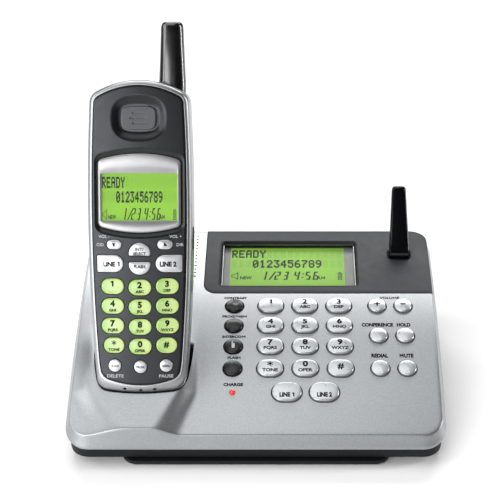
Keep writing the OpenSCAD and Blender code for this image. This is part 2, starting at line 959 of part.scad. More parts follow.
line_key_of(1);  // handset_line_2_key
dot_key_of(0);  // handset_hold_key
dot_key_of(1);  // handset_program_key
dot_key_of(2);  // handset_redial_key
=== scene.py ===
"""The looks of a two-line cordless phone with base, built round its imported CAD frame."""

import json
import math
import bmesh
import bpy
from mathutils import Matrix, Vector
from mathutils.bvhtree import BVHTree

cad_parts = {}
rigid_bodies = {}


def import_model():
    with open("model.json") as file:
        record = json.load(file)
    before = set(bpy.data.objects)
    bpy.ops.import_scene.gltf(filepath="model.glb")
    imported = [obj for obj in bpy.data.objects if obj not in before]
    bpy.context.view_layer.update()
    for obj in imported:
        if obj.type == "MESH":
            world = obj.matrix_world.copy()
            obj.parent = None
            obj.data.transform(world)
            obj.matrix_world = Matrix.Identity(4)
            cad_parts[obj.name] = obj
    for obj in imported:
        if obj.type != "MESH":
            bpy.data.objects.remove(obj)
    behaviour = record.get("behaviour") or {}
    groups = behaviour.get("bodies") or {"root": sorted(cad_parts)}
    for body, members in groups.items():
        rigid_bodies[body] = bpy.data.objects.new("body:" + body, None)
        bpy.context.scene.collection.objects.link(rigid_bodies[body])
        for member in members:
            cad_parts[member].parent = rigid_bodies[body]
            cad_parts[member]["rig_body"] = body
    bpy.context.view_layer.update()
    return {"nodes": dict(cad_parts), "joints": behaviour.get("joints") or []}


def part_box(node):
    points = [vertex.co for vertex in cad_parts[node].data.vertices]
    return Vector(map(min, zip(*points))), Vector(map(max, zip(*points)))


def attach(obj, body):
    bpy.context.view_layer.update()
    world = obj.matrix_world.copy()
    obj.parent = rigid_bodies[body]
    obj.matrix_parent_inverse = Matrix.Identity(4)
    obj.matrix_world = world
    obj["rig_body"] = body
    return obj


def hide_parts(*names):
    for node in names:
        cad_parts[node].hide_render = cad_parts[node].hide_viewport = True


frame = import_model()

MM = 0.001
NODES = frame["nodes"]
JOINT_OF = {joint["child"]: joint for joint in frame["joints"]}

# ---- driving sizes, in mm

BASE_HALF_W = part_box("base_top_shell")[1].x / MM
BASE_HALF_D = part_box("base_top_shell")[1].y / MM
BASE_CORNER = 12
TOP_RADIUS = 408
FRONT_SLOPE = math.radians(24.7)
FRONT_H = 17.6
RIDGE_IN = 2.2
BACK_IN = 0.33
SKIRT_H = 6.5
SHELL_T = 2.4
SHELL_LIFT = 2.6
ARC_Y = -BASE_HALF_D + RIDGE_IN + TOP_RADIUS * math.sin(FRONT_SLOPE)
ARC_Z = FRONT_H - TOP_RADIUS * math.cos(FRONT_SLOPE)

KEY_RISE = 1.7
KEY_GAP = 0.4
HOLE_GAP = 0.6
GRILLE_PITCH = 3.1
GRILLE_HALF = (7, 6)
GRILLE_HOLE_R = 0.62
GRILLE_SPOT = (-57, 127)
WINDOW_X = (-20, 53.6)
WINDOW_S = (101.4, 138.8)
PANEL_X0 = -30
PANEL_S0 = 94
PANEL_BACK = BASE_HALF_D - 0.3
PANEL_SINK = 1.3
PANEL_PROUD = 0.3
MAST_SPOT = (79, 127)
LAMP_SPOT = (-12.4, 25.2)
LAMP_HOLE_R = 1.8

CRADLE_X = -59
LIP_RISE = 4.3
LIP_BACK_Y = -50
LIP_FADE_Y = (-44, 2)
LIP_LEFT = ((6, 26), (29, 36.8))
LIP_RIGHT = ((6, 18.5), (21.5, 29))

HS_W = 53.6
HS_Z0 = -2
HS_Z1 = 158
HS_T = 28
HS_SIDE_R = 1050
HS_MID_Z = 94
HS_END_R = 44
HS_FOOT_R = 150
HS_CORNER_R = 7
FACE_INSET = 2.7
FACE_CROWN = 1.5
SPLIT_Y = 13
CHIN = 1.7
FOOT_BOW = 0.0075
POCKET_GAP = 0.9
POCKET_ROOM = (1.5, 0.7)
SCREEN_Z = (80.6, 120.9)
SCREEN_W = 42
SCREEN_ARCH_R = 68
HS_LCD_W = 39
HS_LCD_Z = (86.6, 110.9)
EAR_Z = 138.7
VALLEY_SIDE = 1.9
VALLEY_END = 3
EAR_DISH = (14.4, 12, 2.5)
EAR_PLATE = (8.8, 6.1, 4)
EAR_GROOVE = 0.75
EAR_FLOOR = -3.3
EAR_DEPTH = 1.8
BEZEL_W = 1.9
LCD_LEVEL = -4.08
CAP_HEIGHT = 0.7
LETTER_GAP = 0.08
METRES = Matrix.Scale(MM, 4)


# ---- camera, lights, floor

def placed(name, data):
    holder = bpy.data.objects.new(name, data)
    bpy.context.scene.collection.objects.link(holder)
    return holder


def add_camera():
    camera = bpy.data.cameras.new("camera")
    camera.lens = 108
    camera.sensor_width = 36
    camera.shift_x = -0.076
    holder = placed("camera", camera)
    holder.location = Vector((16.4, -682.55, 478.35)) * MM
    holder.rotation_euler = (math.radians(60), 0, 0)
    bpy.context.scene.camera = holder


# Name of each soft box, then its place and size in metres and its power
LIGHTS = (
    ("back_box", (0.10, 1.30, 1.22), (1.7, 0.5), 23.6),
    ("overhead_box", (-0.22, 0.05, 1.2), (0.9, 0.9), 5.2),
    ("left_box", (-1, 0.1, 0.8), (0.8, 0.8), 4.7),
    ("left_front_box", (-0.80, -1.15, 0.50), (1, 0.8), 14.5),
    ("left_strip", (-1.25, -0.50, 0.60), (0.25, 1), 4.7),
    ("front_box", (-0.15, -1.3, 0.50), (0.7, 0.5), 2.6),
    ("right_strip", (1.3, 0.15, 0.5), (0.15, 1), 9.5),
)


def add_studio():
    world = bpy.data.worlds.new("studio")
    world.use_nodes = True
    background = world.node_tree.nodes["Background"]
    background.inputs["Color"].default_value = (1, 1, 1, 1)
    background.inputs["Strength"].default_value = 0.03
    bpy.context.scene.world = world
    bpy.context.scene.view_settings.view_transform = "Standard"
    for name, place, size, power in LIGHTS:
        light = bpy.data.lights.new(name, "AREA")
        light.shape = "RECTANGLE"
        light.size, light.size_y = size
        light.energy = power
        holder = placed(name, light)
        holder.location = place
        aim = Vector((0, 0, 0.05)) - Vector(place)
        holder.rotation_euler = aim.to_track_quat("-Z", "Y").to_euler()
    bpy.ops.mesh.primitive_plane_add(size=8, location=(0, 1, -0.0002))
    floor = bpy.context.object
    floor.name = "floor"
    shader = new_shader("floor_paper")
    tint(shader, noise(shader, 3), (0.93, 0.93, 0.93), (0.95, 0.95, 0.95))
    gloss(shader, noise(shader, 40), (0.55, 0.65))
    floor.data.materials.append(FINISHES["floor_paper"])


# ---- materials

FINISHES = {}


def new_shader(name):
    material = bpy.data.materials.new(name)
    material.use_nodes = True
    FINISHES[name] = material
    return material.node_tree.nodes["Principled BSDF"]


def new_node(shader, kind, source, socket, **values):
    """Node of the shader's material with set inputs, fed by a source."""
    node = shader.id_data.nodes.new(kind)
    for name, value in values.items():
        node.inputs[name.replace("_", " ")].default_value = value
    shader.id_data.links.new(source, node.inputs[socket])
    return node


def noise(shader, scale, detail=3):
    coords = shader.id_data.nodes.new("ShaderNodeTexCoord").outputs["Object"]
    node = new_node(shader, "ShaderNodeTexNoise", coords, "Vector", Scale=scale, Detail=detail)
    return node.outputs["Fac"]


def tint(shader, source, low, high, places=(0.3, 0.7), socket="Base Color"):
    """Colours a socket of the shader with a ramp over the source."""
    node = new_node(shader, "ShaderNodeValToRGB", source, "Fac")
    for stop, place, colour in zip(node.color_ramp.elements, places, (low, high)):
        stop.position = place
        stop.color = (*colour, 1)
    shader.id_data.links.new(node.outputs["Color"], shader.inputs[socket])


def gloss(shader, source, rough):
    """Uneven roughness between two values."""
    node = new_node(shader, "ShaderNodeMapRange", source, "Value", From_Min=0.3, From_Max=0.7,
                    To_Min=rough[0], To_Max=rough[1])
    shader.id_data.links.new(node.outputs["Result"], shader.inputs["Roughness"])


def bump(shader, source, distance, strength=1):
    node = new_node(shader, "ShaderNodeBump", source, "Height", Distance=distance,
                    Strength=strength)
    shader.id_data.links.new(node.outputs["Normal"], shader.inputs["Normal"])


def preset(shader, metallic=0, coat=0, coat_rough=0.03, specular=0.5, ior=1.5):
    for name, value in (("Metallic", metallic), ("Coat Weight", coat), ("IOR", ior),
                        ("Coat Roughness", coat_rough), ("Specular IOR Level", specular)):
        shader.inputs[name].default_value = value


def moulded(name, colour, rough=(0.4, 0.5), depth=0.00002, **values):
    """Moulded plastic: slight colour drift, uneven gloss and a fine grain."""
    shader = new_shader(name)
    tint(shader, noise(shader, 90, 4), [c * 0.94 for c in colour], [c * 1.06 for c in colour])
    gloss(shader, noise(shader, 240, 5), rough)
    bump(shader, noise(shader, 2600, 2), depth)
    preset(shader, coat_rough=0.15, **values)


def lime_rubber_painted_light(name, left, right):
    """Key rubber with painted light: each key grows paler across, from a deeper lime side to a paler
    painted highlight, as if lit from behind.
    """
    shader = new_shader(name)
    place = shader.id_data.nodes.new("ShaderNodeTexCoord").outputs["Generated"]
    parts = new_node(shader, "ShaderNodeSeparateXYZ", place, "Vector")
    # painted light: the ramp across each key runs from the shaded, deeper lime to the lit, paler
    # lime
    tint(shader, parts.outputs["X"], left, right, (0, 0.8))
    gloss(shader, noise(shader, 900), (0.22, 0.3))
    preset(shader, coat=0.4, coat_rough=0.1)
    bump(shader, noise(shader, 2600), 0.00001)


def painted_silver(name, colour, metallic):
    """Metallic paint: fine flakes that catch the light over an even silver."""
    shader = new_shader(name)
    tint(shader, noise(shader, 1900, 2), [c * 0.88 for c in colour], [c * 1.1 for c in colour])
    gloss(shader, noise(shader, 700, 4), (0.35, 0.41))
    bump(shader, noise(shader, 2200, 2), 0.00001, 0.6)
    preset(shader, metallic=metallic, coat=0.25, coat_rough=0.25)


def lit_display(name, colour, strength):
    """Backlit display: a green glow that drifts a little from place to place."""
    shader = new_shader(name)
    for socket in ("Base Color", "Emission Color"):
        tint(shader, noise(shader, 26, 1), [c * 0.8 for c in colour], colour, socket=socket)
    gloss(shader, noise(shader, 900, 2), (0.35, 0.45))
    shader.inputs["Emission Strength"].default_value = strength
    preset(shader, specular=0.15)


def clear_glass(name):
    """Thin clear window: mostly see-through, with a soft reflection and faint smears."""
    shader = new_shader(name)
    tint(shader, noise(shader, 50), (0.9, 0.95, 0.9), (1, 1, 1))
    gloss(shader, noise(shader, 60, 4), (0.05, 0.12))
    shader.inputs["Alpha"].default_value = 0.02
    preset(shader, specular=0.15)


def make_materials():
    painted_silver("silver_paint", (0.328, 0.342, 0.350), 0.9)
    painted_silver("silver_rim", (0.335, 0.345, 0.35), 0.9)
    painted_silver("handset_back_plastic", (0.26, 0.27, 0.275), 0.6)
    moulded("charcoal_plastic", (0.010, 0.011, 0.012), (0.5, 0.6), specular=0.2)
    moulded("panel_plastic", (0.030, 0.034, 0.038), (0.42, 0.5), specular=0.2)
    moulded("face_plastic", (0.024, 0.026, 0.028), (0.27, 0.33), metallic=0.75)
    moulded("black_plastic", (0.002, 0.002, 0.003), (0.2, 0.27), coat=0.8, ior=1.7)
    moulded("blade_black", (0.002, 0.002, 0.003), (0.14, 0.2), coat=0.3, specular=0.3)
    moulded("bezel", (0.012, 0.013, 0.014), (0.4, 0.5), specular=0.2)
    moulded("ear_plate", (0.07, 0.073, 0.077), (0.34, 0.44), metallic=0.5)
    moulded("key_silver", (0.47, 0.49, 0.50), (0.26, 0.34), metallic=0.7)
    moulded("key_dark", (0.008, 0.008, 0.009), (0.25, 0.35), coat=0.15, specular=0.3)
    moulded("key_white", (0.56, 0.57, 0.585), (0.28, 0.38), metallic=0.6)
    # the two colours are the painted shaded side and the painted lit side of the lime keys
    lime_rubber_painted_light("key_lime", (0.20, 0.40, 0.04), (0.54, 0.69, 0.26))
    lit_display("lcd_green", (0.20, 0.44, 0.018), 0.18)
    lit_display("lcd_ghost", (0.17, 0.39, 0.015), 0.16)
    moulded("lcd_ink", (0.003, 0.009, 0.002), (0.5, 0.6), specular=0.1)
    moulded("screen_surround", (0.12, 0.13, 0.12))
    moulded("screen_frame", (0.35, 0.35, 0.36), (0.28, 0.36), metallic=0.7)
    clear_glass("clear_lens")
    moulded("lamp_red", (0.85, 0.03, 0.02), (0.15, 0.2), coat=0.5)
    moulded("rubber_black", (0.015, 0.015, 0.016), (0.7, 0.85), depth=0.00005)
    moulded("board_green", (0.01, 0.12, 0.04), (0.3, 0.4))
    moulded("contact_metal", (0.85, 0.62, 0.25), (0.2, 0.3), metallic=1)
    moulded("screw_steel", (0.5, 0.5, 0.52), (0.28, 0.4), metallic=1)
    moulded("speaker_metal", (0.12, 0.12, 0.13), metallic=0.6)
    moulded("cell_blue", (0.04, 0.12, 0.45), (0.2, 0.3), coat=0.3)
    moulded("ink_dark", (0.004, 0.004, 0.005), (0.5, 0.6), specular=0.08)
    moulded("ink_white", (0.5, 0.5, 0.5), (0.5, 0.6))


# ---- mesh helpers

def add_piece(name, mesh, finish, body, angle=35, replaces=None):
    """A piece that rides a body. Its material slot is named like its finish."""
    mesh.shade_smooth()
    mesh.set_sharp_from_angle(angle=math.radians(angle))
    mesh.materials.append(FINISHES[finish])
    piece = placed(name, mesh)
    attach(piece, body)
    if replaces:
        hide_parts(replaces)
    return piece


def shift(x, y, z):
    return Matrix.Translation((x, y, z))


def corners(points):
    """Lowest and highest corner of the box round some points."""
    points = list(points)
    return (Vector([min(p[i] for p in points) for i in range(3)]),
            Vector([max(p[i] for p in points) for i in range(3)]))


def leaning(place, along, out):
    """Frame in mm at a place in metres: X across, Y and Z along two given directions."""
    return Matrix(((MM, 0, 0, place.x), (0, along.y * MM, out.y * MM, place.y),
                   (0, along.z * MM, out.z * MM, place.z), (0, 0, 0, 1)))


def tidy(bm):
    bmesh.ops.remove_doubles(bm, verts=bm.verts, dist=1e-4)
    bmesh.ops.dissolve_degenerate(bm, edges=bm.edges, dist=1e-5)
    bmesh.ops.recalc_face_normals(bm, faces=bm.faces)


def to_mesh(bm, matrix):
    bm.transform(matrix)
    mesh = bpy.data.meshes.new("mesh")
    bm.to_mesh(mesh)
    bm.free()
    return mesh


def loft(bm, loops, closed=False, caps=True):
    """Joins loops of equal length with quads, and caps the first and the last."""
    rings = [[bm.verts.new(p) for p in loop] for loop in loops]
    pairs = list(zip(rings, rings[1:]))
    if closed:
        pairs.append((rings[-1], rings[0]))
    for a, b in pairs:
        for i in range(len(a)):
            j = (i + 1) % len(a)
            bm.faces.new((a[i], a[j], b[j], b[i]))
    if caps and not closed:
        bm.faces.new(rings[0])
        bm.faces.new(rings[-1][::-1])


def lofted(loops, closed=False, caps=True):
    bm = bmesh.new()
    loft(bm, loops, closed, caps)
    tidy(bm)
    return bm


def solid(loops, matrix, closed=False, caps=True):
    return to_mesh(lofted(loops, closed, caps), matrix)


def flat(loop, z):
    return [(x, y, z) for x, y in loop]


def prism(loop, low, high, matrix):
    return solid([flat(loop, low), flat(loop, high)], matrix)


def combine(meshes):
    bm = bmesh.new()
    for mesh in meshes:
        bm.from_mesh(mesh)
    merged = bpy.data.meshes.new("merged")
    bm.to_mesh(merged)
    bm.free()
    return merged


def boolean(mesh, cutters, operation="DIFFERENCE"):
    """Mesh after a boolean with one or more closed meshes."""
    scene = bpy.context.scene.collection.objects
    target = bpy.data.objects.new("target", mesh)
    tool = bpy.data.objects.new("tool", combine(cutters))
    scene.link(target)
    scene.link(tool)
    modifier = target.modifiers.new("cut", "BOOLEAN")
    modifier.operation = operation
    modifier.solver = "EXACT"
    modifier.object = tool
    depsgraph = bpy.context.evaluated_depsgraph_get()
    result = bpy.data.meshes.new_from_object(target.evaluated_get(depsgraph))
    bpy.data.objects.remove(tool)
    bpy.data.objects.remove(target)
    return result


def arc_points(centre, r, a0, a1, count):
    return [(centre[0] + r * math.cos(a0 + (a1 - a0) * i / count),
             centre[1] + r * math.sin(a0 + (a1 - a0) * i / count)) for i in range(count)]


def disc(r, count=32):
    return arc_points((0, 0), r, 0, 2 * math.pi, count)


def rounded_box(x0, x1, y0, y1, radii, inset=0, corner=8, sides=(1, 1)):
    """Loop of a box. radii is one radius, or one per corner from the right top round to the left.
    The number of points doesn't depend on the inset."""
    if not isinstance(radii, tuple):
        radii = (radii,) * 4
    x0, x1, y0, y1 = x0 + inset, x1 - inset, y0 + inset, y1 - inset
    limit = max(0, min(x1 - x0, y1 - y0) / 2)
    ends = [(x1, y1, 1, 1), (x0, y1, -1, 1), (x0, y0, -1, -1), (x1, y0, 1, -1)]
    arcs = []
    for k, (x, y, sx, sy) in enumerate(ends):
        r = min(limit, max(0.02, radii[k] - inset))
        centre = (x - sx * r, y - sy * r)
        arcs.append([(centre[0] + r * math.cos(math.pi / 2 * (k + i / corner)),
                      centre[1] + r * math.sin(math.pi / 2 * (k + i / corner)))
                     for i in range(corner + 1)])
    loop = []
    for k in range(4):
        loop += arcs[k]
        a, b = arcs[k][-1], arcs[(k + 1) % 4][0]
        count = sides[k % 2]
        loop += [(a[0] + (b[0] - a[0]) * i / count, a[1] + (b[1] - a[1]) * i / count)
                 for i in range(1, count)]
    return loop


def slab(half_w, half_h, r, inset=0, corner=8, sides=(1, 1)):
    """Loop of a box centred on the origin, with the same radius at each corner."""
    return rounded_box(-half_w, half_w, -half_h, half_h, r, inset, corner, sides)


def stadium(w, d):
    return slab(w / 2, d / 2, d / 2, corner=10)


def barrel(half_w, half_h, arch_r, corner_r, counts=(12, 6, 20)):
    """Loop of a box with straight sides and arched top and bottom, centred on the origin."""
    ny, nc, nx = counts
    cx = half_w - corner_r
    cy = half_h - arch_r + math.sqrt((arch_r - corner_r) ** 2 - cx ** 2)
    tilt = math.atan2(cy - (half_h - arch_r), cx)
    quarter = [(half_w, cy * i / ny) for i in range(ny)]
    quarter += arc_points((cx, cy), corner_r, 0, tilt, nc)
    quarter += arc_points((0, half_h - arch_r), arch_r, tilt, math.pi / 2, nx)
    quarter.append((0, half_h))
    left = [(-x, y) for x, y in reversed(quarter[:-1])]
    low_left = [(-x, -y) for x, y in quarter[1:]]
    low_right = [(x, -y) for x, y in reversed(quarter[1:-1])]
    return quarter + left + low_left + low_right


def drawn_in(loop, inset):
    """Loop moved inwards by inset, for a convex loop that runs anticlockwise."""
    moved = []
    count = len(loop)
    for i in range(count):
        a, b, c = Vector(loop[i - 1]), Vector(loop[i]), Vector(loop[(i + 1) % count])
        d0 = (b - a).normalized()
        d1 = (c - b).normalized()
        n = Vector((-d0.y - d1.y, d0.x + d1.x)).normalized()
        lean = max(0.4, n.dot(Vector((-d0.y, d0.x))))
        moved.append(tuple(b + n * inset / lean))
    return moved


def smooth(t):
    t = min(1, max(0, t))
    return t * t * (3 - 2 * t)


def mix(a, b, t):
    return a + (b - a) * min(1, max(0, t))


# ---- print

def print_mesh(outline, scale=1):
    """Raised print of an outline, half a unit up and half a unit down."""
    outline = [(x * scale, y * scale) for x, y in outline]
    bm = lofted([flat(outline, -0.5), flat(outline, 0.5)])
    bmesh.ops.triangulate(bm, faces=bm.faces)
    return to_mesh(bm, Matrix.Identity(4))


def asterisk(height):
    """Six-armed star, centred on the origin."""
    half = 0.085 * height
    outline = []
    for i in range(6):
        turn = math.radians(60 * i - 90)
        ahead = Vector((math.cos(turn), math.sin(turn)))
        aside = Vector((-ahead.y, ahead.x)) * half
        notch = turn - math.radians(30)
        outline.append((2 * half * math.cos(notch), 2 * half * math.sin(notch)))
        outline += [tuple(ahead * height / 2 - aside), tuple(ahead * height / 2 + aside)]
    return print_mesh(outline)


def numeral_one(height):
    """Figure one with a flag, centred on the origin."""
    return print_mesh([(-0.05, -0.35), (0.15, -0.35), (0.15, 0.35), (-0.02, 0.35),
                       (-0.22, 0.24), (-0.22, 0.08), (-0.05, 0.16)], height / CAP_HEIGHT)


def capital_m(bold):
    """Capital M in font units, standing on the base line. The font's own breaks when bold."""
    wide = 0.68 + 2 * bold
    leg = 0.075 + 1.8 * bold
    half = [(0, 0), (leg, 0), (leg, 0.42 - bold)]
    over = [(0, CAP_HEIGHT), (leg + 0.01, CAP_HEIGHT)]
    outline = half + [(wide / 2, 0.1)] + [(wide - x, y) for x, y in half[::-1] + over]
    return print_mesh(outline + [(wide / 2, 0.26 + 3 * bold)] + over[::-1])


def font_mesh(text, bold):
    """Raised letters in font units."""
    curve = bpy.data.curves.new("letters", "FONT")
    curve.body = text
    curve.extrude = 0.5
    curve.offset = bold
    curve.resolution_u = 3
    holder = bpy.data.objects.new("letters", curve)
    mesh = bpy.data.meshes.new_from_object(holder)
    bpy.data.objects.remove(holder)
    return mesh


def word_mesh(text, bold):
    """Letters side by side in font units, with each M drawn by itself."""
    meshes = []
    for i, part in enumerate(text.split("M")):
        meshes += ([capital_m(bold)] if i else []) + ([font_mesh(part, bold)] if part else [])
    right = 0
    for mesh in meshes:
        move = right + LETTER_GAP - min(v.co.x for v in mesh.vertices)
        for v in mesh.vertices:
            v.co.x += move
        right = max(v.co.x for v in mesh.vertices)
    return combine(meshes)


def letters(text, height, stretch, bold):
    """Closed raised letters of a cap height in mm, centred on the origin."""
    if text in ("*", "1"):
        return asterisk(height) if text == "*" else numeral_one(height)
    mesh = word_mesh(text, bold)
    first, last = corners(v.co for v in mesh.vertices)
    low, high = (first.y, last.y) if text in "+-#" else (0, CAP_HEIGHT)
    scale = height / (CAP_HEIGHT if text == "-" else high - low)
    for v in mesh.vertices:
        v.co.x = (v.co.x - (first.x + last.x) / 2) * scale * stretch
        v.co.y = (v.co.y - (low + high) / 2) * scale
    return mesh


def sliced(bm, pitch):
    """Cuts the print along a grid, so that it can follow a curved surface."""
    for axis in (0, 1):
        values = [v.co[axis] for v in bm.verts]
        low, high = min(values), max(values)
        normal = Vector((1 - axis, axis, 0))
        steps = int((high - low) / pitch) + 1
        for i in range(1, steps):
            geom = bm.verts[:] + bm.edges[:] + bm.faces[:]
            place = normal * (low + i * (high - low) / steps)
            bmesh.ops.bisect_plane(bm, geom=geom, plane_co=place, plane_no=normal)


def add_print(name, rows, surface, matrix, material, body):
    """Rows of (text, x, y, cap height, stretch, bold) as ink that lies on the surface."""
    bm = bmesh.new()
    for text, x, y, height, stretch, bold in rows:
        mesh = letters(text, height, stretch, bold)
        for v in mesh.vertices:
            v.co.x += x
            v.co.y += y
        bm.from_mesh(mesh)
    bmesh.ops.remove_doubles(bm, verts=bm.verts, dist=1e-5)
    if surface:
        sliced(bm, 0.8)
    for v in bm.verts:
        top = surface(v.co.x, v.co.y) if surface else 0
        v.co.z = top + 0.03 if v.co.z > 0 else top - 0.04
    return add_piece(name, to_mesh(bm, matrix), material, body, 60)


def mark_box(bm, x0, x1, y0, y1, slant=0, z=0.02):
    """Thin closed mark on a display. A slant leans it to the right as it goes up."""
    loop = [(x + slant * y, y) for x, y in ((x0, y0), (x1, y0), (x1, y1), (x0, y1))]
    loft(bm, [flat(loop, z), flat(loop, z + 0.02)])


# ---- the base's top surface

def slope_at(s):
    return FRONT_SLOPE - s / TOP_RADIUS


def top_y(s):
    return ARC_Y - TOP_RADIUS * math.sin(slope_at(s))


def arc_z(y):
    return ARC_Z + math.sqrt(TOP_RADIUS ** 2 - (y - ARC_Y) ** 2)


def lip(x, y):
    """Height of the smooth bulge that leads up to the cradle and wraps its left side."""
    front = -BASE_HALF_D + RIDGE_IN
    t = (y - front) / (LIP_BACK_Y - front)
    across = x - CRADLE_X
    inner, outer = (mix(a, b, t) for a, b in (LIP_RIGHT if across > 0 else LIP_LEFT))
    side = 1 - smooth((abs(across) - inner) / (outer - inner))
    fade = 1 - smooth((y - LIP_FADE_Y[0]) / (LIP_FADE_Y[1] - LIP_FADE_Y[0]))
    return LIP_RISE * side * fade


def top_z(x, y):
    return arc_z(y) + lip(x, y)


def on_arc(loop, h):
    """Loop laid at a height over the arc that the base's top follows."""
    return [(x, y, arc_z(min(y, BASE_HALF_D)) + h) for x, y in loop]


def on_cover(loop, h=0):
    """Loop laid at a height over the base's top with its lip."""
    return [(x, y, top_z(x, y) + h) for x, y in loop]


def on_top(x, s, lift=0):
    """Frame on the top surface, in mm: +Z is square to it, +Y up the slope."""
    a = slope_at(s)
    r = TOP_RADIUS + lift
    place = Vector((x, ARC_Y - r * math.sin(a), ARC_Z + r * math.cos(a)))
    return METRES @ Matrix.Translation(place) @ Matrix.Rotation(a, 4, "X")


def plan_loop(inset, back=None):
    """The base's outline in plan, drawn in by inset; the same points for every inset."""
    half_w = BASE_HALF_W - inset
    back = BASE_HALF_D - (inset if back is None else back)
    r = max(BASE_CORNER - inset, 0.4)
    return rounded_box(-half_w, half_w, inset - BASE_HALF_D, back, r, 0, 8, (96, 60))


def crown_loop(inset):
    """Like plan_loop, but drawn in much less at the back edge until the middle is near."""
    back = inset * BACK_IN / RIDGE_IN
    if inset > RIDGE_IN:
        back = BACK_IN + (inset - RIDGE_IN) * (BASE_HALF_D - BACK_IN) / (BASE_HALF_D - RIDGE_IN)
    return plan_loop(inset, back)


# ---- handset frame

def handset_frame():
    """Frame of the handset: X across, Y behind the face, Z along its length."""
    up = Vector(JOINT_OF["handset"]["axis"]).normalized()
    back = Vector(JOINT_OF["battery_door"]["axis"]).normalized()
    face = min(v.co.dot(back) for v in NODES["handset_face_plate"].data.vertices)
    foot = min(v.co.dot(up) for v in NODES["handset_front_shell"].data.vertices) - HS_Z0 * MM
    return leaning(up * foot + back * face + Vector((CRADLE_X * MM, 0, 0)), back, up)


HANDSET = handset_frame()
# Frame for what is seen from the front: X across, Y along the length, Z out of the face
FRONT = HANDSET @ Matrix(((1, 0, 0, 0), (0, 0, -1, 0), (0, 1, 0, 0), (0, 0, 0, 1)))


def crown(x):
    """How far the face lies below its middle line at x."""
    return FACE_CROWN * (x / 24) ** 2


def meet(c0, r0, c1, r1, side):
    """One of the two points at distance r0 from c0 and r1 from c1."""
    d = Vector(c1) - Vector(c0)
    a = (r0 ** 2 - r1 ** 2 + d.length_squared) / (2 * d.length)
    h = math.sqrt(max(0, r0 ** 2 - a ** 2))
    u = d.normalized()
    return Vector(c0) + u * a + Vector((-u.y, u.x)) * h * side


def hs_outline(inset):
    """Front view of the handset, drawn in by inset, from the right foot round to the left."""
    reach = HS_SIDE_R - HS_W / 2
    ends = {1: (0, HS_Z1 - HS_END_R), -1: (0, HS_Z0 + HS_FOOT_R)}
    rs = HS_SIDE_R - inset
    re = {1: HS_END_R - inset, -1: HS_FOOT_R - inset}
    rc = max(0.6, HS_CORNER_R - inset)
    spots, side, tip = {}, {}, {}
    for end in (1, -1):
        found = [meet((-reach, HS_MID_Z), rs - rc, ends[end], re[end] - rc, k) for k in (1, -1)]
        spot = spots[end] = max(found, key=lambda p: p.x + end * p.y)
        side[end] = math.atan2(spot.y - HS_MID_Z, spot.x + reach)
        tip[end] = math.atan2(spot.y - ends[end][1], spot.x)
    right, left = (spots[-1].x, spots[-1].y), (-spots[-1].x, spots[-1].y)
    arcs = (
        ((-reach, HS_MID_Z), rs, side[-1], side[1], 30),
        (spots[1], rc, side[1], tip[1], 8),
        (ends[1], re[1], tip[1], math.pi - tip[1], 32),
        ((-spots[1].x, spots[1].y), rc, math.pi - tip[1], math.pi - side[1], 8),
        ((reach, HS_MID_Z), rs, math.pi - side[1], math.pi - side[-1], 30),
        (left, rc, math.pi - side[-1], math.pi - tip[-1], 8),
        (ends[-1], re[-1], -math.pi - tip[-1], tip[-1], 32),
        (right, rc, tip[-1], side[-1], 8),
    )
    return [point for arc in arcs for point in arc_points(*arc)]


def lifted(loop, amount, bow=0):
    """Raises the foot end of an outline of the handset, more so towards its sides with bow."""
    return [(x, z + (amount + bow * x * x) * smooth((16 - z) / 14)) for x, z in loop]


def drawn_up(inset, lift):
    """Handset outline with its foot drawn up towards the face plate's rounder foot."""
    return lifted(hs_outline(inset), lift, FOOT_BOW * lift / CHIN)


def on_face(loop, out=0):
    """Loop laid at a height over the handset's crowned face."""
    return [(x, y, out - crown(x)) for x, y in loop]


def shrunk(loop, k):
    """Handset outline drawn in towards its long middle line."""
    mid = (HS_Z0 + HS_Z1) / 2
    return [(x * k, mid + (z - mid) * (0.82 + 0.18 * k)) for x, z in loop]


def hs_level(inset, out, lift=0):
    """Handset outline in the front frame, at a height out of the crowned face."""
    return on_face(drawn_up(inset, lift), out)


def pocket_loop(grow, out):
    """Outline of the cradle's pocket: tight below the foot, with more room at its sides."""
    loop = []
    for x, z in lifted(hs_outline(-POCKET_GAP - grow), POCKET_GAP - 0.15):
        room = POCKET_ROOM[x > 0] * smooth((z - 4) / 10) * (1 - smooth((z - 26) / 24))
        loop.append((x + math.copysign(room, x) if abs(x) > 10 else x, z))
    return flat(loop, out)


# ---- base housing

def build_top_cover():
    outer = [on_arc(crown_loop(0), -SKIRT_H), on_arc(crown_loop(0), 0.5 - SKIRT_H)]
    for inset in (0.5, 1.2, 1.9):
        outer.append([(x, y, mix(arc_z(y) - SKIRT_H, top_z(x, y), inset / RIDGE_IN))
                      for x, y in crown_loop(inset)])
    for inset, h in ((RIDGE_IN - 0.1, -0.3), (RIDGE_IN + 0.1, -0.08)):
        outer.append(on_cover(crown_loop(inset), h))
    steps = 48
    for i in range(steps):
        inset = mix(RIDGE_IN + 0.5, BASE_HALF_D, i / (steps - 1))
        outer.append(on_cover(crown_loop(inset)))
    inner = [on_cover(plan_loop(inset), -SHELL_T)
             for inset in (BASE_HALF_D, 60, 40, 20, SHELL_T + 0.05)]
    inner.append(on_arc(crown_loop(SHELL_T), -SKIRT_H))
    mesh = solid(inner + outer, METRES, caps=False)
    for cutters in top_cutters():
        mesh = boolean(mesh, cutters)
    add_piece("top_cover", mesh, "silver_paint", "base", 30, replaces="base_top_shell")


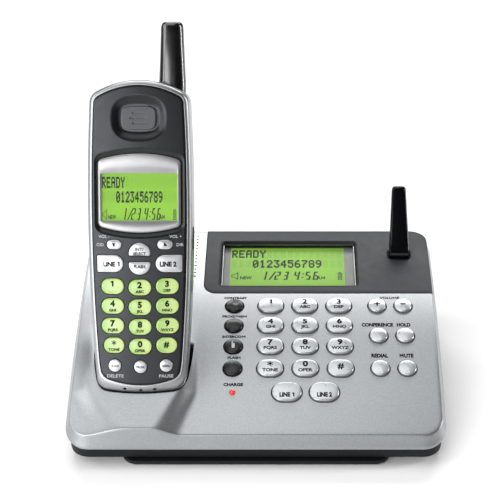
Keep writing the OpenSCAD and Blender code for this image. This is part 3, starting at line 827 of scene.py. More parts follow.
def top_cutters():
    """Groups of cutters; those of one group don't touch each other."""
    cutters = []
    for node in base_key_nodes():
        matrix, w, d = key_place(node)
        cutters.append(prism(stadium(w + 2 * HOLE_GAP, d + 2 * HOLE_GAP), -6, 3, matrix))
    for i in range(-GRILLE_HALF[0], GRILLE_HALF[0] + 1):
        for j in range(-GRILLE_HALF[1], GRILLE_HALF[1] + 1):
            spot = on_top(GRILLE_SPOT[0] + i * GRILLE_PITCH, GRILLE_SPOT[1] + j * GRILLE_PITCH)
            cutters.append(prism(disc(GRILLE_HOLE_R, 10), -5, 3, spot))
    cutters.append(prism(disc(LAMP_HOLE_R), -6, 3, on_top(*LAMP_SPOT)))
    mid, half_w, half_d = window_middle()
    window = prism(slab(half_w, half_d, 0.6), -9, 6, mid)
    well = prism(slab(7.5, 6, 1), -5.6, 6, on_top(*MAST_SPOT))
    return [cutters, [cradle_block(0, 0.9)], [panel_recess()], [window, well]]


def window_middle():
    mid = on_top(sum(WINDOW_X) / 2, sum(WINDOW_S) / 2)
    return mid, (WINDOW_X[1] - WINDOW_X[0]) / 2, (WINDOW_S[1] - WINDOW_S[0]) / 2


def panel_loop(inset):
    corner = BASE_CORNER - RIDGE_IN
    return rounded_box(PANEL_X0, BASE_HALF_W - RIDGE_IN + 0.4, top_y(PANEL_S0), PANEL_BACK,
                       (corner, 0.6, 7, 0.6), inset, 10, (30, 24))


def cradle_block(grow, over):
    """Block with the outline of the cradle's pocket, longer than the handset is thick."""
    return solid([pocket_loop(grow, over), pocket_loop(grow, -HS_T - over)], FRONT)


def panel_recess():
    """Space that the dark panel is let into, open past the right and back edges."""
    over = 9
    half = (BASE_HALF_D + over - top_y(PANEL_S0) + 0.1) / 2

    def at(inset, h):
        loop = rounded_box(PANEL_X0 - 0.1, BASE_HALF_W + over, top_y(PANEL_S0) - 0.1,
                           BASE_HALF_D + over, (1, 0.6, 7.1, 0.6), inset, 10, (30, 24))
        return on_arc(loop, h)
    steps = 14
    insets = [half * i / steps for i in range(steps + 1)]
    loops = [at(i, -PANEL_SINK) for i in insets[::-1]] + [at(i, over) for i in insets]
    return solid(loops, METRES, caps=False)


def build_panel():
    """Dark panel over the back of the base, with a soft edge all round."""
    half = (PANEL_BACK - top_y(PANEL_S0)) / 2
    steps = 16
    levels = [(half * k, -PANEL_SINK) for k in (1, 0.75, 0.5, 0.25)]
    levels += [(0.3, -PANEL_SINK), (0, -PANEL_SINK + 0.2), (0, PANEL_PROUD - 0.5),
               (0.15, PANEL_PROUD - 0.15), (0.5, PANEL_PROUD)]
    levels += [(0.5 + (half - 0.5) * i / steps, PANEL_PROUD) for i in range(1, steps + 1)]
    mesh = solid([on_arc(panel_loop(inset), h) for inset, h in levels], METRES, caps=False)
    mid, half_w, half_d = window_middle()
    mesh = boolean(mesh, [prism(slab(half_w, half_d, 1, -BEZEL_W), -6, 6, mid),
                          prism(mast_opening(0.3), -6, 6, on_top(*MAST_SPOT))])
    add_piece("dark_panel", mesh, "panel_plastic", "base", 30, replaces="display_panel")


def build_window():
    """Sloping bezel of the display window and the base's display."""
    mid, half_w, half_d = window_middle()
    loops = []
    for grow, z in ((BEZEL_W - 0.05, 0.1), (BEZEL_W - 0.25, 0.32), (BEZEL_W - 0.6, 0.25),
                    (0.4, -1.1), (0, -1.6), (0, -5), (BEZEL_W - 0.05, -5)):
        loop = slab(half_w, half_d, 1, -grow, 6, (8, 8))
        loops.append([(x, y, z - (y * y) / (2 * TOP_RADIUS)) for x, y in loop])
    add_piece("window_bezel", solid(loops, mid, closed=True), "bezel", "base")
    build_lcd("base", mid @ shift(-0.8, 0.4, LCD_LEVEL), 64.4, 36.6, 2.2, 0.95)


DOTS = {
    "A": "01110 10001 10001 11111 10001 10001 10001",
    "D": "11110 10001 10001 10001 10001 10001 11110",
    "E": "11111 10000 10000 11110 10000 10000 11111",
    "R": "11110 10001 10001 11110 10100 10010 10001",
    "Y": "10001 10001 01010 00100 00100 00100 00100",
    "0": "01110 10001 10011 10101 11001 10001 01110",
    "1": "00100 01100 00100 00100 00100 00100 01110",
    "2": "01110 10001 00001 00010 00100 01000 11111",
    "3": "11111 00010 00100 00010 00001 10001 01110",
    "4": "00010 00110 01010 10010 11111 00010 00010",
    "5": "11111 10000 11110 00001 00001 10001 01110",
    "6": "00110 01000 10000 11110 10001 10001 01110",
    "7": "11111 00001 00010 00100 01000 01000 01000",
    "8": "01110 10001 10001 01110 10001 10001 01110",
    "9": "01110 10001 10001 01111 00001 00010 01100",
}
ADVANCE = {"/": 5.6, ":": 3.2, " ": 3, "1": 7}
SEGMENTS = {"1": "bc", "2": "abged", "3": "abgcd", "4": "fgbc", "5": "afgcd", "6": "afgedc"}
CELL_PITCH = 6.5
DOTS_ACROSS = 106


def build_lcd(owner, matrix, width, height, margin, dy):
    """Backlit display with two dot rows and a row of segment digits, all generic."""
    edge = slab(width / 2, height / 2, 0.5, 0, 4)
    glow = [flat(edge, -0.25), flat(edge, -0.04), flat(drawn_in(edge, 0.04), 0)]
    add_piece(owner + "_lcd", solid(glow, matrix), "lcd_green", owner)
    dx = width / DOTS_ACROSS

    def spot(x, y):
        return x * dx - width / 2, height / 2 - margin - y * dy
    ghost = bmesh.new()
    ink = bmesh.new()
    for row in (0, 9.5):
        for dot in range(16 * 5):
            x, y = spot(1.5 + CELL_PITCH * (dot // 5) + dot % 5, row)
            mark_box(ghost, x, x + 0.8 * dx, y - 7 * dy, y, z=0.002)
    for text, x0, row in (("READY", 1.5, 0), ("0123456789", 21, 9.5)):
        for k, letter in enumerate(text):
            for j, line in enumerate(DOTS[letter].split()):
                for i in (i for i in range(5) if line[i] == "1"):
                    x, y = spot(x0 + CELL_PITCH * k + i, row + j)
                    mark_box(ink, x - 0.2 * dx, x + 1.3 * dx, y - 1.25 * dy, y + 0.15 * dy)
    big_digits(ink, spot, dx, dy)
    small_icons(ink, spot, dx, dy)
    add_piece(owner + "_lcd_cells", to_mesh(ghost, matrix), "lcd_ghost", owner)
    add_piece(owner + "_lcd_marks", to_mesh(ink, matrix), "lcd_ink", owner)
    words = [(text, *spot(column, 26.2), 2.6 * dy, 1.25 * dx / dy, 0.03)
             for text, column in (("NEW", 15), ("AM", 84))]
    add_print(owner + "_lcd_words", words, None, matrix @ shift(0, 0, 0.03), "lcd_ink", owner)


def big_digits(ink, spot, dx, dy):
    """Leaning segment digits of the date and time."""
    w, h, t = 5.1 * dx, 7.6 * dy, 1.6 * dx
    lean = 0.16
    gap = 0.1 * t
    x0 = 28
    for letter in "1/23 4:56":
        x, y = spot(x0, 28)
        x -= lean * y
        left, right, top = (x, x + t), (x + w - t, x + w), y + h
        upper, lower = (y + h / 2 + gap, top), (y, y + h / 2 - gap)
        bars = {"a": (x + t, x + w - t, top - t, top), "b": right + upper, "c": right + lower,
                "d": (x + t, x + w - t, y, y + t), "e": left + lower, "f": left + upper,
                "g": (x + t, x + w - t, y + h / 2 - t / 2, y + h / 2 + t / 2)}
        for name in SEGMENTS.get(letter, ""):
            mark_box(ink, *bars[name], lean)
        if letter == "/":
            x += 0.1 * w - 2.2 * lean * y
            mark_box(ink, x, x + t, y, top, lean * 3.2)
        if letter == ":":
            for k in (0.25, 0.65):
                mark_box(ink, *left, y + k * h, y + k * h + 0.9 * t, lean)
        x0 += ADVANCE.get(letter, 7.3)


def small_icons(ink, spot, dx, dy):
    """A loudspeaker outline at the left and a battery at the right."""
    x, y = spot(1.6, 28)
    w, h, t = 6.2 * dx, 7 * dy, 0.7 * dx
    bars = [(x, x + 0.35 * w, y + 0.32 * h, y + 0.32 * h + t),
            (x, x + 0.35 * w, y + 0.68 * h - t, y + 0.68 * h),
            (x, x + t, y + 0.32 * h, y + 0.68 * h), (x + w - t, x + w, y, y + h)]
    for sign in (1, -1):
        a = (x + 0.35 * w, y + 0.5 * h + sign * 0.18 * h)
        b = (x + w, y + 0.5 * h + sign * 0.5 * h)
        strip = [a, b, (b[0], b[1] - sign * 1.6 * t), (a[0], a[1] - sign * 1.2 * t)][::-sign]
        loft(ink, [flat(strip, 0.02), flat(strip, 0.04)])
    x, y = spot(99.5, 28)
    w, h = 4 * dx, 6.4 * dy
    bars += [(x, x + t, y, y + h), (x + w - t, x + w, y, y + h), (x, x + w, y, y + t),
             (x, x + w, y + h - t, y + h), (x + 0.3 * w, x + 0.7 * w, y + h, y + h + 1.6 * t)]
    bars += [(x + 1.6 * t, x + w - 1.6 * t, y + k * h, y + (k + 0.14) * h) for k in (0.2, 0.45, 0.7)]
    for bar in bars:
        mark_box(ink, *bar)


def build_lower_shell():
    """Dark lower housing: set in below the skirt, tapering to a flat bottom."""
    floor = SHELL_LIFT + SHELL_T
    loops = [flat(plan_loop(BASE_HALF_D), floor), flat(plan_loop(6.4), floor),
             flat(plan_loop(5.2), floor + 1.2)]
    loops += [on_arc(plan_loop(inset), h) for inset, h in ((5.1, -4), (2.7, -4), (2.7, -6.8),
                                                           (2.05, -6.85), (2, -7.3))]
    loops += [flat(plan_loop(inset), z) for inset, z in ((2, 8.6), (2.15, 5.2), (2.5, 3.6),
                                                         (3.2, 2.9), (4.2, SHELL_LIFT),
                                                         (BASE_HALF_D, SHELL_LIFT))]
    cutters = []
    upright = Matrix.Rotation(math.pi / 2, 4, "X")
    for low, high in solid_boxes("line_jacks") + solid_boxes("power_inlet"):
        loop = rounded_box(low.x - 0.15, high.x + 0.15, low.z - 0.15, high.z + 0.15, 0.4)
        cutters.append(prism(loop, 0, 22, METRES @ shift(0, high.y + 2, 0) @ upright))
    for low, high in solid_boxes("base_screws"):
        hole = METRES @ shift((low.x + high.x) / 2, (low.y + high.y) / 2, 0)
        cutters.append(prism(disc(3.2, 28), -1, SHELL_LIFT + 2.2, hole))
        cutters.append(prism(disc(1.75, 20), SHELL_LIFT + 2, 12, hole))
    for x in range(52, 83, 5):
        slot = rounded_box(x - 0.9, x + 0.9, 12, 26, 0.9)
        cutters.append(prism(slot, -1, 8, METRES @ shift(0, BASE_HALF_D, 0) @ upright))
    mesh = boolean(solid(loops, METRES, caps=False), cutters)
    add_piece("lower_shell", mesh, "charcoal_plastic", "base", 30, replaces="base_lower_shell")


def solid_boxes(node, place=METRES, cap=False):
    """Box in mm of each separate solid of a CAD node, or of the caps of keys."""
    back = place.inverted()
    mesh = NODES[node].data
    groups = list(range(len(mesh.vertices)))

    def root(i):
        while groups[i] != i:
            groups[i] = groups[groups[i]]
            i = groups[i]
        return i
    same = {}
    for v in mesh.vertices:
        key = tuple(round(c, 6) for c in v.co)
        groups[root(v.index)] = root(same.setdefault(key, v.index))
    for edge in mesh.edges:
        groups[root(edge.vertices[0])] = root(edge.vertices[1])
    found = {}
    for v in mesh.vertices:
        found.setdefault(root(v.index), []).append(back @ v.co)
    if cap:
        front = min(p.y for points in found.values() for p in points)
        found = {k: [p for p in points if p.y < front + 0.1] for k, points in found.items()}
    return sorted((corners(points) for points in found.values()), key=lambda b: tuple(b[0]))


def build_cradle_well():
    """Well that the foot of the handset stands in, trimmed just below the top surface; its charcoal
    is painted shade for the dark gaps round the handset.
    """
    mesh = boolean(cradle_block(1.5, 2.4), [cradle_block(0, 0.9)])
    columns, rows = 40, 46
    x0, x1, y0, y1 = CRADLE_X - 36, CRADLE_X + 36, -BASE_HALF_D + 4, 8
    rings = []
    for j in range(rows + 1):
        y = y0 + (y1 - y0) * j / rows
        top = on_cover([(x0 + (x1 - x0) * i / columns, y) for i in range(columns + 1)], -0.7)
        rings.append(top + [(x1, y, 6), (x0, y, 6)])
    mesh = boolean(mesh, [solid(rings, METRES)], "INTERSECT")
    # charcoal here is painted shade: the well stands in shadow round the handset's foot
    add_piece("cradle_well", mesh, "charcoal_plastic", "base", 30)


def build_base_antenna():
    """Tapering blade with rounded edges on a barrel, leaning back out of its pocket."""
    pivot = Vector(JOINT_OF["antenna"]["pos_m"])
    verts = [v.co - pivot for v in NODES["base_antenna"].data.vertices]
    length = max(v.length for v in verts)
    tip = [v for v in verts if v.length > length - 0.5 * MM]
    up = Vector((0, sum(v.y for v in tip), sum(v.z for v in tip))).normalized()
    tall = max(v.dot(up) for v in verts) / MM
    loops = []
    for z, w, t in ((0, 11.2, 5.9), (4.6, 11.2, 5.4), (tall * 0.5, 9.7, 4.9),
                    (tall - 3, 8.2, 4.4), (tall - 1.4, 7.8, 4.2), (tall - 0.6, 7, 3.7),
                    (tall - 0.15, 5.6, 2.7), (tall, 4, 1.6)):
        loops.append(flat(slab(w / 2, t / 2, min(1.5, t / 2 - 0.05), 0, 6), z))
    blade = solid(loops, leaning(pivot, Vector((0, -up.z, up.y)), up))
    axle = METRES @ Matrix.Translation(pivot / MM) @ Matrix.Rotation(math.pi / 2, 4, "Y")
    rim = [flat(disc(r, 40), x) for x, r in ((-5.55, 2.6), (-5.3, 2.95), (5.3, 2.95), (5.55, 2.6))]
    mesh = boolean(blade, [solid(rim, axle)], "UNION")
    mesh = boolean(mesh, [prism(disc(1.16, 24), -6, 6, axle)])
    add_piece("antenna_blade", mesh, "blade_black", "antenna", 40,
              replaces="base_antenna")
    build_antenna_mount(axle)


def build_antenna_mount(axle):
    """Pocket, two cheeks and the pin that the antenna turns on."""
    spot = on_top(*MAST_SPOT)
    loops = [flat(mast_opening(grow), z)
             for grow, z in ((-0.1, -5.2), (-0.1, -0.6), (0.1, 0.25), (0.4, 0.42), (0.8, 0.36),
                             (0.8, -1.2), (0.5, -1.2), (0.5, -5.2))]
    parts = [solid(loops, spot, closed=True), prism(mast_opening(0.2), -5.4, -4.6, spot),
             prism(disc(1.1, 24), -6, 6, axle)]
    plate = [(-1.7, -5), (1.7, -5)] + arc_points((0, 1.4), 1.7, 0, math.pi, 20) + [(-1.7, 1.4)]
    for side in (-1, 1):
        turn = Matrix(((0, 0, 1, side * 5.95 - 0.25), (1, 0, 0, 0), (0, 1, 0, 0), (0, 0, 0, 1)))
        parts.append(prism(plate, 0, 0.5, spot @ turn))
    add_piece("antenna_mount", combine(parts), "charcoal_plastic", "base")


def mast_opening(grow):
    """Outline of the pocket that the antenna stands in."""
    return rounded_box(-6.2, 6.2, -4.2, 5.6, 3.6, -grow, 8, (6, 6))


def build_socket_details():
    """Spring wires in the line sockets and the pin in the power socket."""
    wires = []
    for low, high in solid_boxes("line_jacks"):
        for k in range(4):
            x = (low.x + high.x) / 2 - 1.9 + 1.27 * k
            path = ((high.y - 2.6, low.z + 8.6), (high.y - 6.5, low.z + 4.4),
                    (high.y - 10.5, low.z + 3.4))
            section = ((-0.22, -0.22), (0.22, -0.22), (0.22, 0.22), (-0.22, 0.22))
            wires.append(solid([[(x + a, y + b * 0.3, z + b) for a, b in section]
                                for y, z in path], METRES))
    add_piece("socket_wires", combine(wires), "contact_metal", "base")
    low, high = solid_boxes("power_inlet")[0]
    spot = METRES @ shift((low.x + high.x) / 2, high.y - 9, (low.z + high.z) / 2)
    loops = [flat(disc(r, 20), z) for z, r in ((0, 0.9), (5.4, 0.9), (6.2, 0.55), (6.5, 0.2))]
    add_piece("power_pin", solid(loops, spot @ Matrix.Rotation(-math.pi / 2, 4, "X")),
              "screw_steel", "base")


# ---- keys

def base_key_nodes():
    names = [n for n, o in NODES.items() if o["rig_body"] == n and n in JOINT_OF]
    return sorted(n for n in names if JOINT_OF[n]["parent"] == "base")


def key_place(node):
    """Frame at the middle of a key's cap where it meets the surface, with the cap's size."""
    normal = -Vector(JOINT_OF[node]["axis"]).normalized()
    up = normal.cross(Vector((1, 0, 0)))
    points = [Vector((v.co.x, v.co.dot(up), v.co.dot(normal))) for v in NODES[node].data.vertices]
    top = max(p.z for p in points)
    low, high = corners(p for p in points if p.z > top - 0.1 * MM)
    middle = (low + high) / 2
    place = Vector((middle.x, 0, 0)) + up * middle.y + normal * (top - KEY_RISE * MM)
    return leaning(place, up, normal), (high.x - low.x) / MM, (high.y - low.y) / MM


def cap_mesh(loop, low, top, edge, dome, fall=None):
    """Key cap with a rounded edge and a domed top. fall lowers it to follow a crowned face."""
    loops = [flat(loop, low), flat(loop, top - edge)]
    steps = 5
    for k in range(1, steps + 1):
        a = math.radians(80) * k / steps
        loops.append(flat(drawn_in(loop, edge * (1 - math.cos(a))), top - edge + edge * math.sin(a)))
    rim = loops[-1]
    cx, cy = (sum(p[i] for p in rim) / len(rim) for i in (0, 1))
    for k in (0.88, 0.74, 0.58, 0.4, 0.2):
        loops.append([(cx + (x - cx) * k, cy + (y - cy) * k, z + dome * (1 - k * k))
                      for x, y, z in rim])
    bm = lofted(loops)
    for v in bm.verts:
        v.co.z -= fall(v.co.x) if fall else 0
    return bm


def add_key(name, body, loop, matrix, sizes, finish, rows=(), fall=None, replaces=None):
    """A key cap with its print. sizes are its low end, top, edge rounding and dome height."""
    bm = cap_mesh(loop, *sizes, fall)
    tree = BVHTree.FromBMesh(bm)

    def surface(x, y):
        hit = tree.ray_cast(Vector((x, y, 30)), Vector((0, 0, -1)))[0]
        return hit.z if hit else sizes[1]
    add_piece(name, to_mesh(bm, matrix), finish, body, 40, replaces=replaces)
    if rows:
        add_print(name + "_print", rows, surface, matrix, "ink_dark", body)


LETTERS = {"2": "ABC", "3": "DEF", "4": "GHI", "5": "JKL", "6": "MNO", "7": "PQRS", "8": "TUV",
           "9": "WXYZ", "star": "TONE", "0": "OPER"}


def digit_rows(digit, height, up, small, down):
    rows = [(digit, 0, up, height, 1.05, 0.05)]
    if digit == "star":
        rows = [("*", 0, up, 0.95 * height, 1, 0)]
    if digit == "pound":
        rows = [("#", 0, 0.3, height * 1.15, 1, 0.04)]
    if digit in LETTERS:
        rows.append((LETTERS[digit], 0, down, small, 1.1, 0.045))
    return rows


def build_base_keys():
    rows = {"base_line_1_key": [("LINE", -1, -2.3, 2.4, 0.8, 0.06), ("1", 3.4, -2.3, 2.4, 1, 0)],
            "base_line_2_key": [("LINE 2", 0, -2.3, 2.4, 0.8, 0.06)],
            "volume_up_key": [("+", 0, 0.2, 3.2, 1, 0.02)],
            "volume_down_key": [("-", 0, 0.2, 4.6, 1.5, 0.02)]}
    dark = ("contrast_key", "program_key", "intercom_key", "speaker_flash_key")
    for node in base_key_nodes():
        matrix, w, d = key_place(node)
        if node.startswith("base_key_"):
            rows[node] = digit_rows(node.replace("base_key_", ""), 3.5, 2.1, 1.9, -1.9)
        sizes, finish = (-2, 1.45, 0.7, 0.35), "key_silver"
        if node in dark:
            sizes, finish = (-2, 1.2, 0.8, 0.5), "key_dark"
        add_key(node + "_cap", node, stadium(w, d), matrix, sizes, finish, rows.get(node, ()),
                replaces=node)


def build_key_marks():
    """Small raised ring on the contrast key, off centre in lighter grey as a painted highlight, and
    a white handset on the intercom key.
    """
    spot = key_place("contrast_key")[0] @ shift(0.6, 0.7, 0)
    loops = [flat(disc(r, 28), z)
             for z, r in ((1.2, 2.1), (1.75, 2.1), (2, 1.7), (1.9, 1.3), (1.75, 0.9))]
    # the off-centre grey ring is a painted highlight on the dark key's top, on a raised nub
    add_piece("contrast_dial", solid(loops, spot), "screen_surround", "contrast_key")
    bm = bmesh.new()
    body = rounded_box(-0.8, 0.8, -2.1, 1, 0.5, 0, 5)
    stub = rounded_box(-0.75, -0.25, 0.8, 2.2, 0.2, 0, 5)
    loft(bm, [flat(body, 1.45), flat(body, 1.74)])
    loft(bm, [flat(stub, 1.4), flat(stub, 1.74)])
    mesh = to_mesh(bm, key_place("intercom_key")[0])
    add_piece("intercom_mark", mesh, "ink_white", "intercom_key")


# Key below each label, then its text, place across and up, cap height and stretch
BASE_LABELS = (
    ("contrast_key", "CONTRAST", 0.4, 6.4, 1.5, 1.1),
    ("program_key", "PROG/MEM", 0.2, 6.9, 1.5, 1.15),
    ("intercom_key", "INTERCOM", 0.2, 6.9, 1.5, 1.12),
    ("speaker_flash_key", "FLASH", 0.6, 7.2, 1.5, 1.15),
    ("conference_key", "CONFERENCE", -0.4, 8, 2.3, 0.80),
    ("base_hold_key", "HOLD", -0.4, 8, 2.3, 0.80),
    ("base_redial_key", "REDIAL", 0, 8.6, 2.3, 0.82),
    ("mute_key", "MUTE", 0, 8.6, 2.3, 0.82),
)


def build_base_labels():
    labels = []
    for node, text, x, up, height, stretch in BASE_LABELS:
        matrix = key_place(node)[0] @ shift(x, up, -up * up / (2 * TOP_RADIUS))
        matrix = matrix @ Matrix.Rotation(-up / TOP_RADIUS, 4, "X")
        labels.append((matrix, text, 0, height, stretch, 0.06))
    up_key = key_place("volume_up_key")[0]
    middle = (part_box("volume_up_key")[0].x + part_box("volume_down_key")[1].x) / 2
    matrix = up_key @ shift((middle - up_key.translation.x) / MM, 6.5, -0.05)
    labels.append((matrix, "VOLUME", 0, 1.6, 1.15, 0.045))
    labels.append((on_top(LAMP_SPOT[0], LAMP_SPOT[1] + 4.9), "CHARGE", 0.4, 1.8, 1, 0.055))
    for matrix, text, x, height, stretch, bold in labels:
        add_print("label_" + text.lower().replace("/", "_"), [(text, x, 0, height, stretch, bold)],
                  None, matrix, "ink_dark", "base")


# ---- handset housing

def build_handset_rim():
    """Silver front shell: a rolled rim round the face plate and the upper half of the sides."""
    profile = ((FACE_INSET + 0.02, -2.4, 1), (FACE_INSET + 0.02, -0.3, 1),
               (FACE_INSET - 0.1, -0.08, 1), (FACE_INSET - 0.4, 0, 1), (1.6, -0.25, 0.75),
               (1, -0.7, 0.45), (0.5, -1.5, 0.2), (0.15, -3, 0), (0, -5, 0))
    loops = [hs_level(inset, out, lift * CHIN) for inset, out, lift in profile]
    loops += [flat(drawn_up(inset, lift), out)
              for inset, out, lift in ((0, -8, 0), (0, -SPLIT_Y + 0.3, 0), (0.25, -SPLIT_Y, 0),
                                       (1.8, -SPLIT_Y, 0), (1.8, -5.6, 0),
                                       (FACE_INSET + 1.6, -4.6, CHIN),
                                       (FACE_INSET + 1.6, -3.6, CHIN))]
    low, high = local_box("headset_jack_cover")
    loop = rounded_box(low.x - 1, high.x + 3, low.z - 0.25, high.z + 0.25, 1)
    cutters = [prism(loop, -high.y - 0.25, -low.y + 0.25, FRONT), stub_cutter()]
    for x in (-8.2, 0, 7.2):
        slit = rounded_box(x - 0.9, x + 0.9, -0.55, 0.55, 0.5)
        cutters.append(prism(slit, -9, 2, FRONT @ shift(0, HS_Z0 + 1.8 + 0.011 * x * x, 0)))
    mesh = boolean(solid(loops, FRONT, closed=True), cutters)
    add_piece("handset_rim", mesh, "silver_rim", "handset", 35,
              replaces="handset_front_shell")


def stub_cutter():
    low, high = local_box("handset_antenna")
    loop = rounded_box(low.x - 0.25, high.x + 0.25, low.y - 0.25, high.y + 0.25, 3)
    return prism(loop, low.z - 0.5, high.z + 5, HANDSET)


def local_box(node):
    """Box of a CAD node in the handset's own frame, in mm."""
    back = HANDSET.inverted()
    return corners(back @ v.co for v in NODES[node].data.vertices)


def superellipse(a, b, power, count=72):
    loop = []
    for i in range(count):
        t = 2 * math.pi * i / count
        c, s = math.cos(t), math.sin(t)
        r = (abs(c / a) ** power + abs(s / b) ** power) ** (-1 / power)
        loop.append((r * c, r * s))
    return loop


def build_face_plate():
    """Crowned dark front with openings for the keys, the screen and the ear dish."""
    edge = drawn_up(FACE_INSET + 0.6, CHIN)
    loops = [flat(shrunk(edge, 0), -3.2), flat(shrunk(edge, 0.5), -3.2),
             flat(drawn_up(FACE_INSET + 0.08, CHIN), -3.2),
             hs_level(FACE_INSET + 0.08, -0.45, CHIN),
             hs_level(FACE_INSET + 0.25, -0.15, CHIN), hs_level(FACE_INSET + 0.6, 0, CHIN)]
    loops += [on_face(shrunk(edge, k))
              for k in (0.96, 0.9, 0.8, 0.7, 0.6, 0.5, 0.4, 0.3, 0.2, 0.1, 0)]
    cutters = [prism(drawn_in(loop, -KEY_GAP), -6, 6, matrix)
               for matrix, loop in handset_key_shapes().values()]
    middle = FRONT @ shift(0, sum(SCREEN_Z) / 2, 0)
    dish = FRONT @ shift(0, EAR_Z, 0)
    cutters += [prism(screen_loop(VALLEY_SIDE, VALLEY_END), -9, 6, middle),
                prism(superellipse(*EAR_DISH), -9, 6, dish)]
    mesh = boolean(solid(loops, FRONT, caps=False), cutters)
    add_piece("face_plate", mesh, "face_plastic", "handset", 30, replaces="handset_face_plate")
    build_ear(dish)


def build_ear(spot):
    """Dished earpiece round a raised plate with three sound slots."""
    a, b, power = EAR_PLATE
    outer = superellipse(*EAR_DISH)
    inner = superellipse(a + EAR_GROOVE, b + EAR_GROOVE, power)
    loops = []
    steps = 12
    for i in range(steps + 1):
        t = i / steps
        loop = [(mix(x0, x1, t), mix(y0, y1, t)) for (x0, y0), (x1, y1) in zip(outer, inner)]
        loops.append(on_face(loop, -EAR_DEPTH * smooth(t)))
    loops += [flat(loop, EAR_FLOOR), flat(outer, EAR_FLOOR)]
    add_piece("ear_dish", solid(loops, spot, closed=True), "face_plastic", "handset", 50)
    loop = superellipse(*EAR_PLATE)
    levels = ((0, EAR_FLOOR), (0, -1.3), (0.15, -1.05), (0.5, -0.95))
    plate = solid([flat(drawn_in(loop, i), z) for i, z in levels], spot)
    slots = [prism(rounded_box(-w, w, y - 0.5, y + 0.5, 0.45), EAR_FLOOR + 0.5, 2, spot)
             for y, w in ((2.6, 3.4), (0, 4.6), (-2.6, 3.4))]
    add_piece("ear_plate", boolean(plate, slots), "ear_plate", "handset", 12)


def screen_loop(grow_x, grow_z, corner=3):
    half = (SCREEN_Z[1] - SCREEN_Z[0]) / 2
    return barrel(SCREEN_W / 2 + grow_x, half + grow_z, SCREEN_ARCH_R + grow_z, corner + grow_x)


def build_screen():
    """Valley in near-black painted shade, silver arched frame, clear lens and lit display of the
    handset.
    """
    mid = sum(SCREEN_Z) / 2
    spot = FRONT @ shift(0, mid, 0)
    loops = [on_face(screen_loop(VALLEY_SIDE * k, VALLEY_END * k), out)
             for k, out in ((0.99, -0.02), (0.85, -0.1), (0.6, -0.45), (0.3, -1), (0.04, -1.3),
                            (0.04, -3.2), (0.99, -3.2))]
    mesh = solid(loops, spot, closed=True)
    # the near-black key_dark finish on the valley is painted shade where the face curves down into
    # the frame
    add_piece("screen_valley", mesh, "key_dark", "handset", 50)
    lcd_mid = sum(HS_LCD_Z) / 2 - mid
    lcd_h = (HS_LCD_Z[1] - HS_LCD_Z[0]) / 2

    def window(grow, up=lcd_mid):
        loop = barrel(HS_LCD_W / 2 + grow, lcd_h + grow, 4000, 0.6)
        return [(x, y + up) for x, y in loop]
    outer = screen_loop(0, 0)
    loops = [flat(outer, -2.4)]
    for inset, out in ((0, -1.3), (0.1, -0.85), (0.4, -0.6), (0.9, -0.5)):
        loops.append([(x, y, out - 0.6 * crown(x)) for x, y in drawn_in(outer, inset)])
    loops += [flat(window(0.25), -0.85), flat(window(0), -1), flat(window(0), -2.4)]
    mesh = solid(loops, spot, closed=True)
    add_piece("screen_frame", mesh, "screen_frame", "handset", 40,
              replaces="handset_screen_frame")
    pane = window(-0.05, 0)
    place = spot @ shift(0, lcd_mid, 0)
    lens = solid([flat(pane, -1.9), flat(pane, -1.35), flat(drawn_in(pane, 0.2), -1.2)], place)
    add_piece("screen_lens", lens, "clear_lens", "handset")
    build_lcd("handset", place @ shift(0, 0, -2.1), HS_LCD_W, 2 * lcd_h, 2, 0.775)


def build_handset_back():
    """Rear shell with a rounded back, a seam step and an opening for the battery cover."""
    r = 7
    levels = [(r + 0.5, HS_T - 1.8), (3.2, HS_T - 3.4), (1.8, HS_T - 7.5),
              (1.8, SPLIT_Y + 0.05), (0.25, SPLIT_Y + 0.05), (0, SPLIT_Y + 0.35)]
    for i in range(10):
        a = math.pi / 2 * i / 9
        levels.append((r * (1 - math.cos(a)), HS_T - r + r * math.sin(a)))
    loops = [flat(shrunk(hs_outline(r + 0.5), k), 1.8 - HS_T) for k in (0, 0.5)]
    loops += [flat(hs_outline(inset), -depth) for inset, depth in levels]
    loops += [flat(shrunk(hs_outline(r), k), -HS_T) for k in (0.6, 0.3, 0)]
    low, high = local_box("battery_cover")
    loop = rounded_box(low.x - 0.3, high.x + 0.3, low.z - 0.3, high.z + 0.3, 2)
    mesh = boolean(solid(loops, FRONT, caps=False),
                   [prism(loop, -HS_T - 4, -HS_T + 4.2, FRONT), stub_cutter()])
    add_piece("handset_back", mesh, "handset_back_plastic", "handset", 35,
              replaces="handset_back_shell")
    build_battery_cover(low.x, high.x, low.z, high.z)


def build_battery_cover(x0, x1, z0, z1):
    """Slightly crowned cover with grip ribs near its top."""
    loops = [flat(rounded_box(x0, x1, z0, z1, 1.8, inset, 6, (8, 8)), up - HS_T)
             for inset, up in ((0, 1.6), (0, 0.35), (0.1, 0.1), (0.35, 0))]
    grooves = []
    for k in range(5):
        z = z1 - 9 - 2.6 * k
        slot = rounded_box(-9 + 0.8 * k, 9 - 0.8 * k, z - 0.55, z + 0.55, 0.5)
        grooves.append(prism(slot, -HS_T - 1, -HS_T + 0.55, FRONT))
    add_piece("battery_door", boolean(solid(loops, FRONT), grooves), "handset_back_plastic",
              "battery_door", 35, replaces="battery_cover")


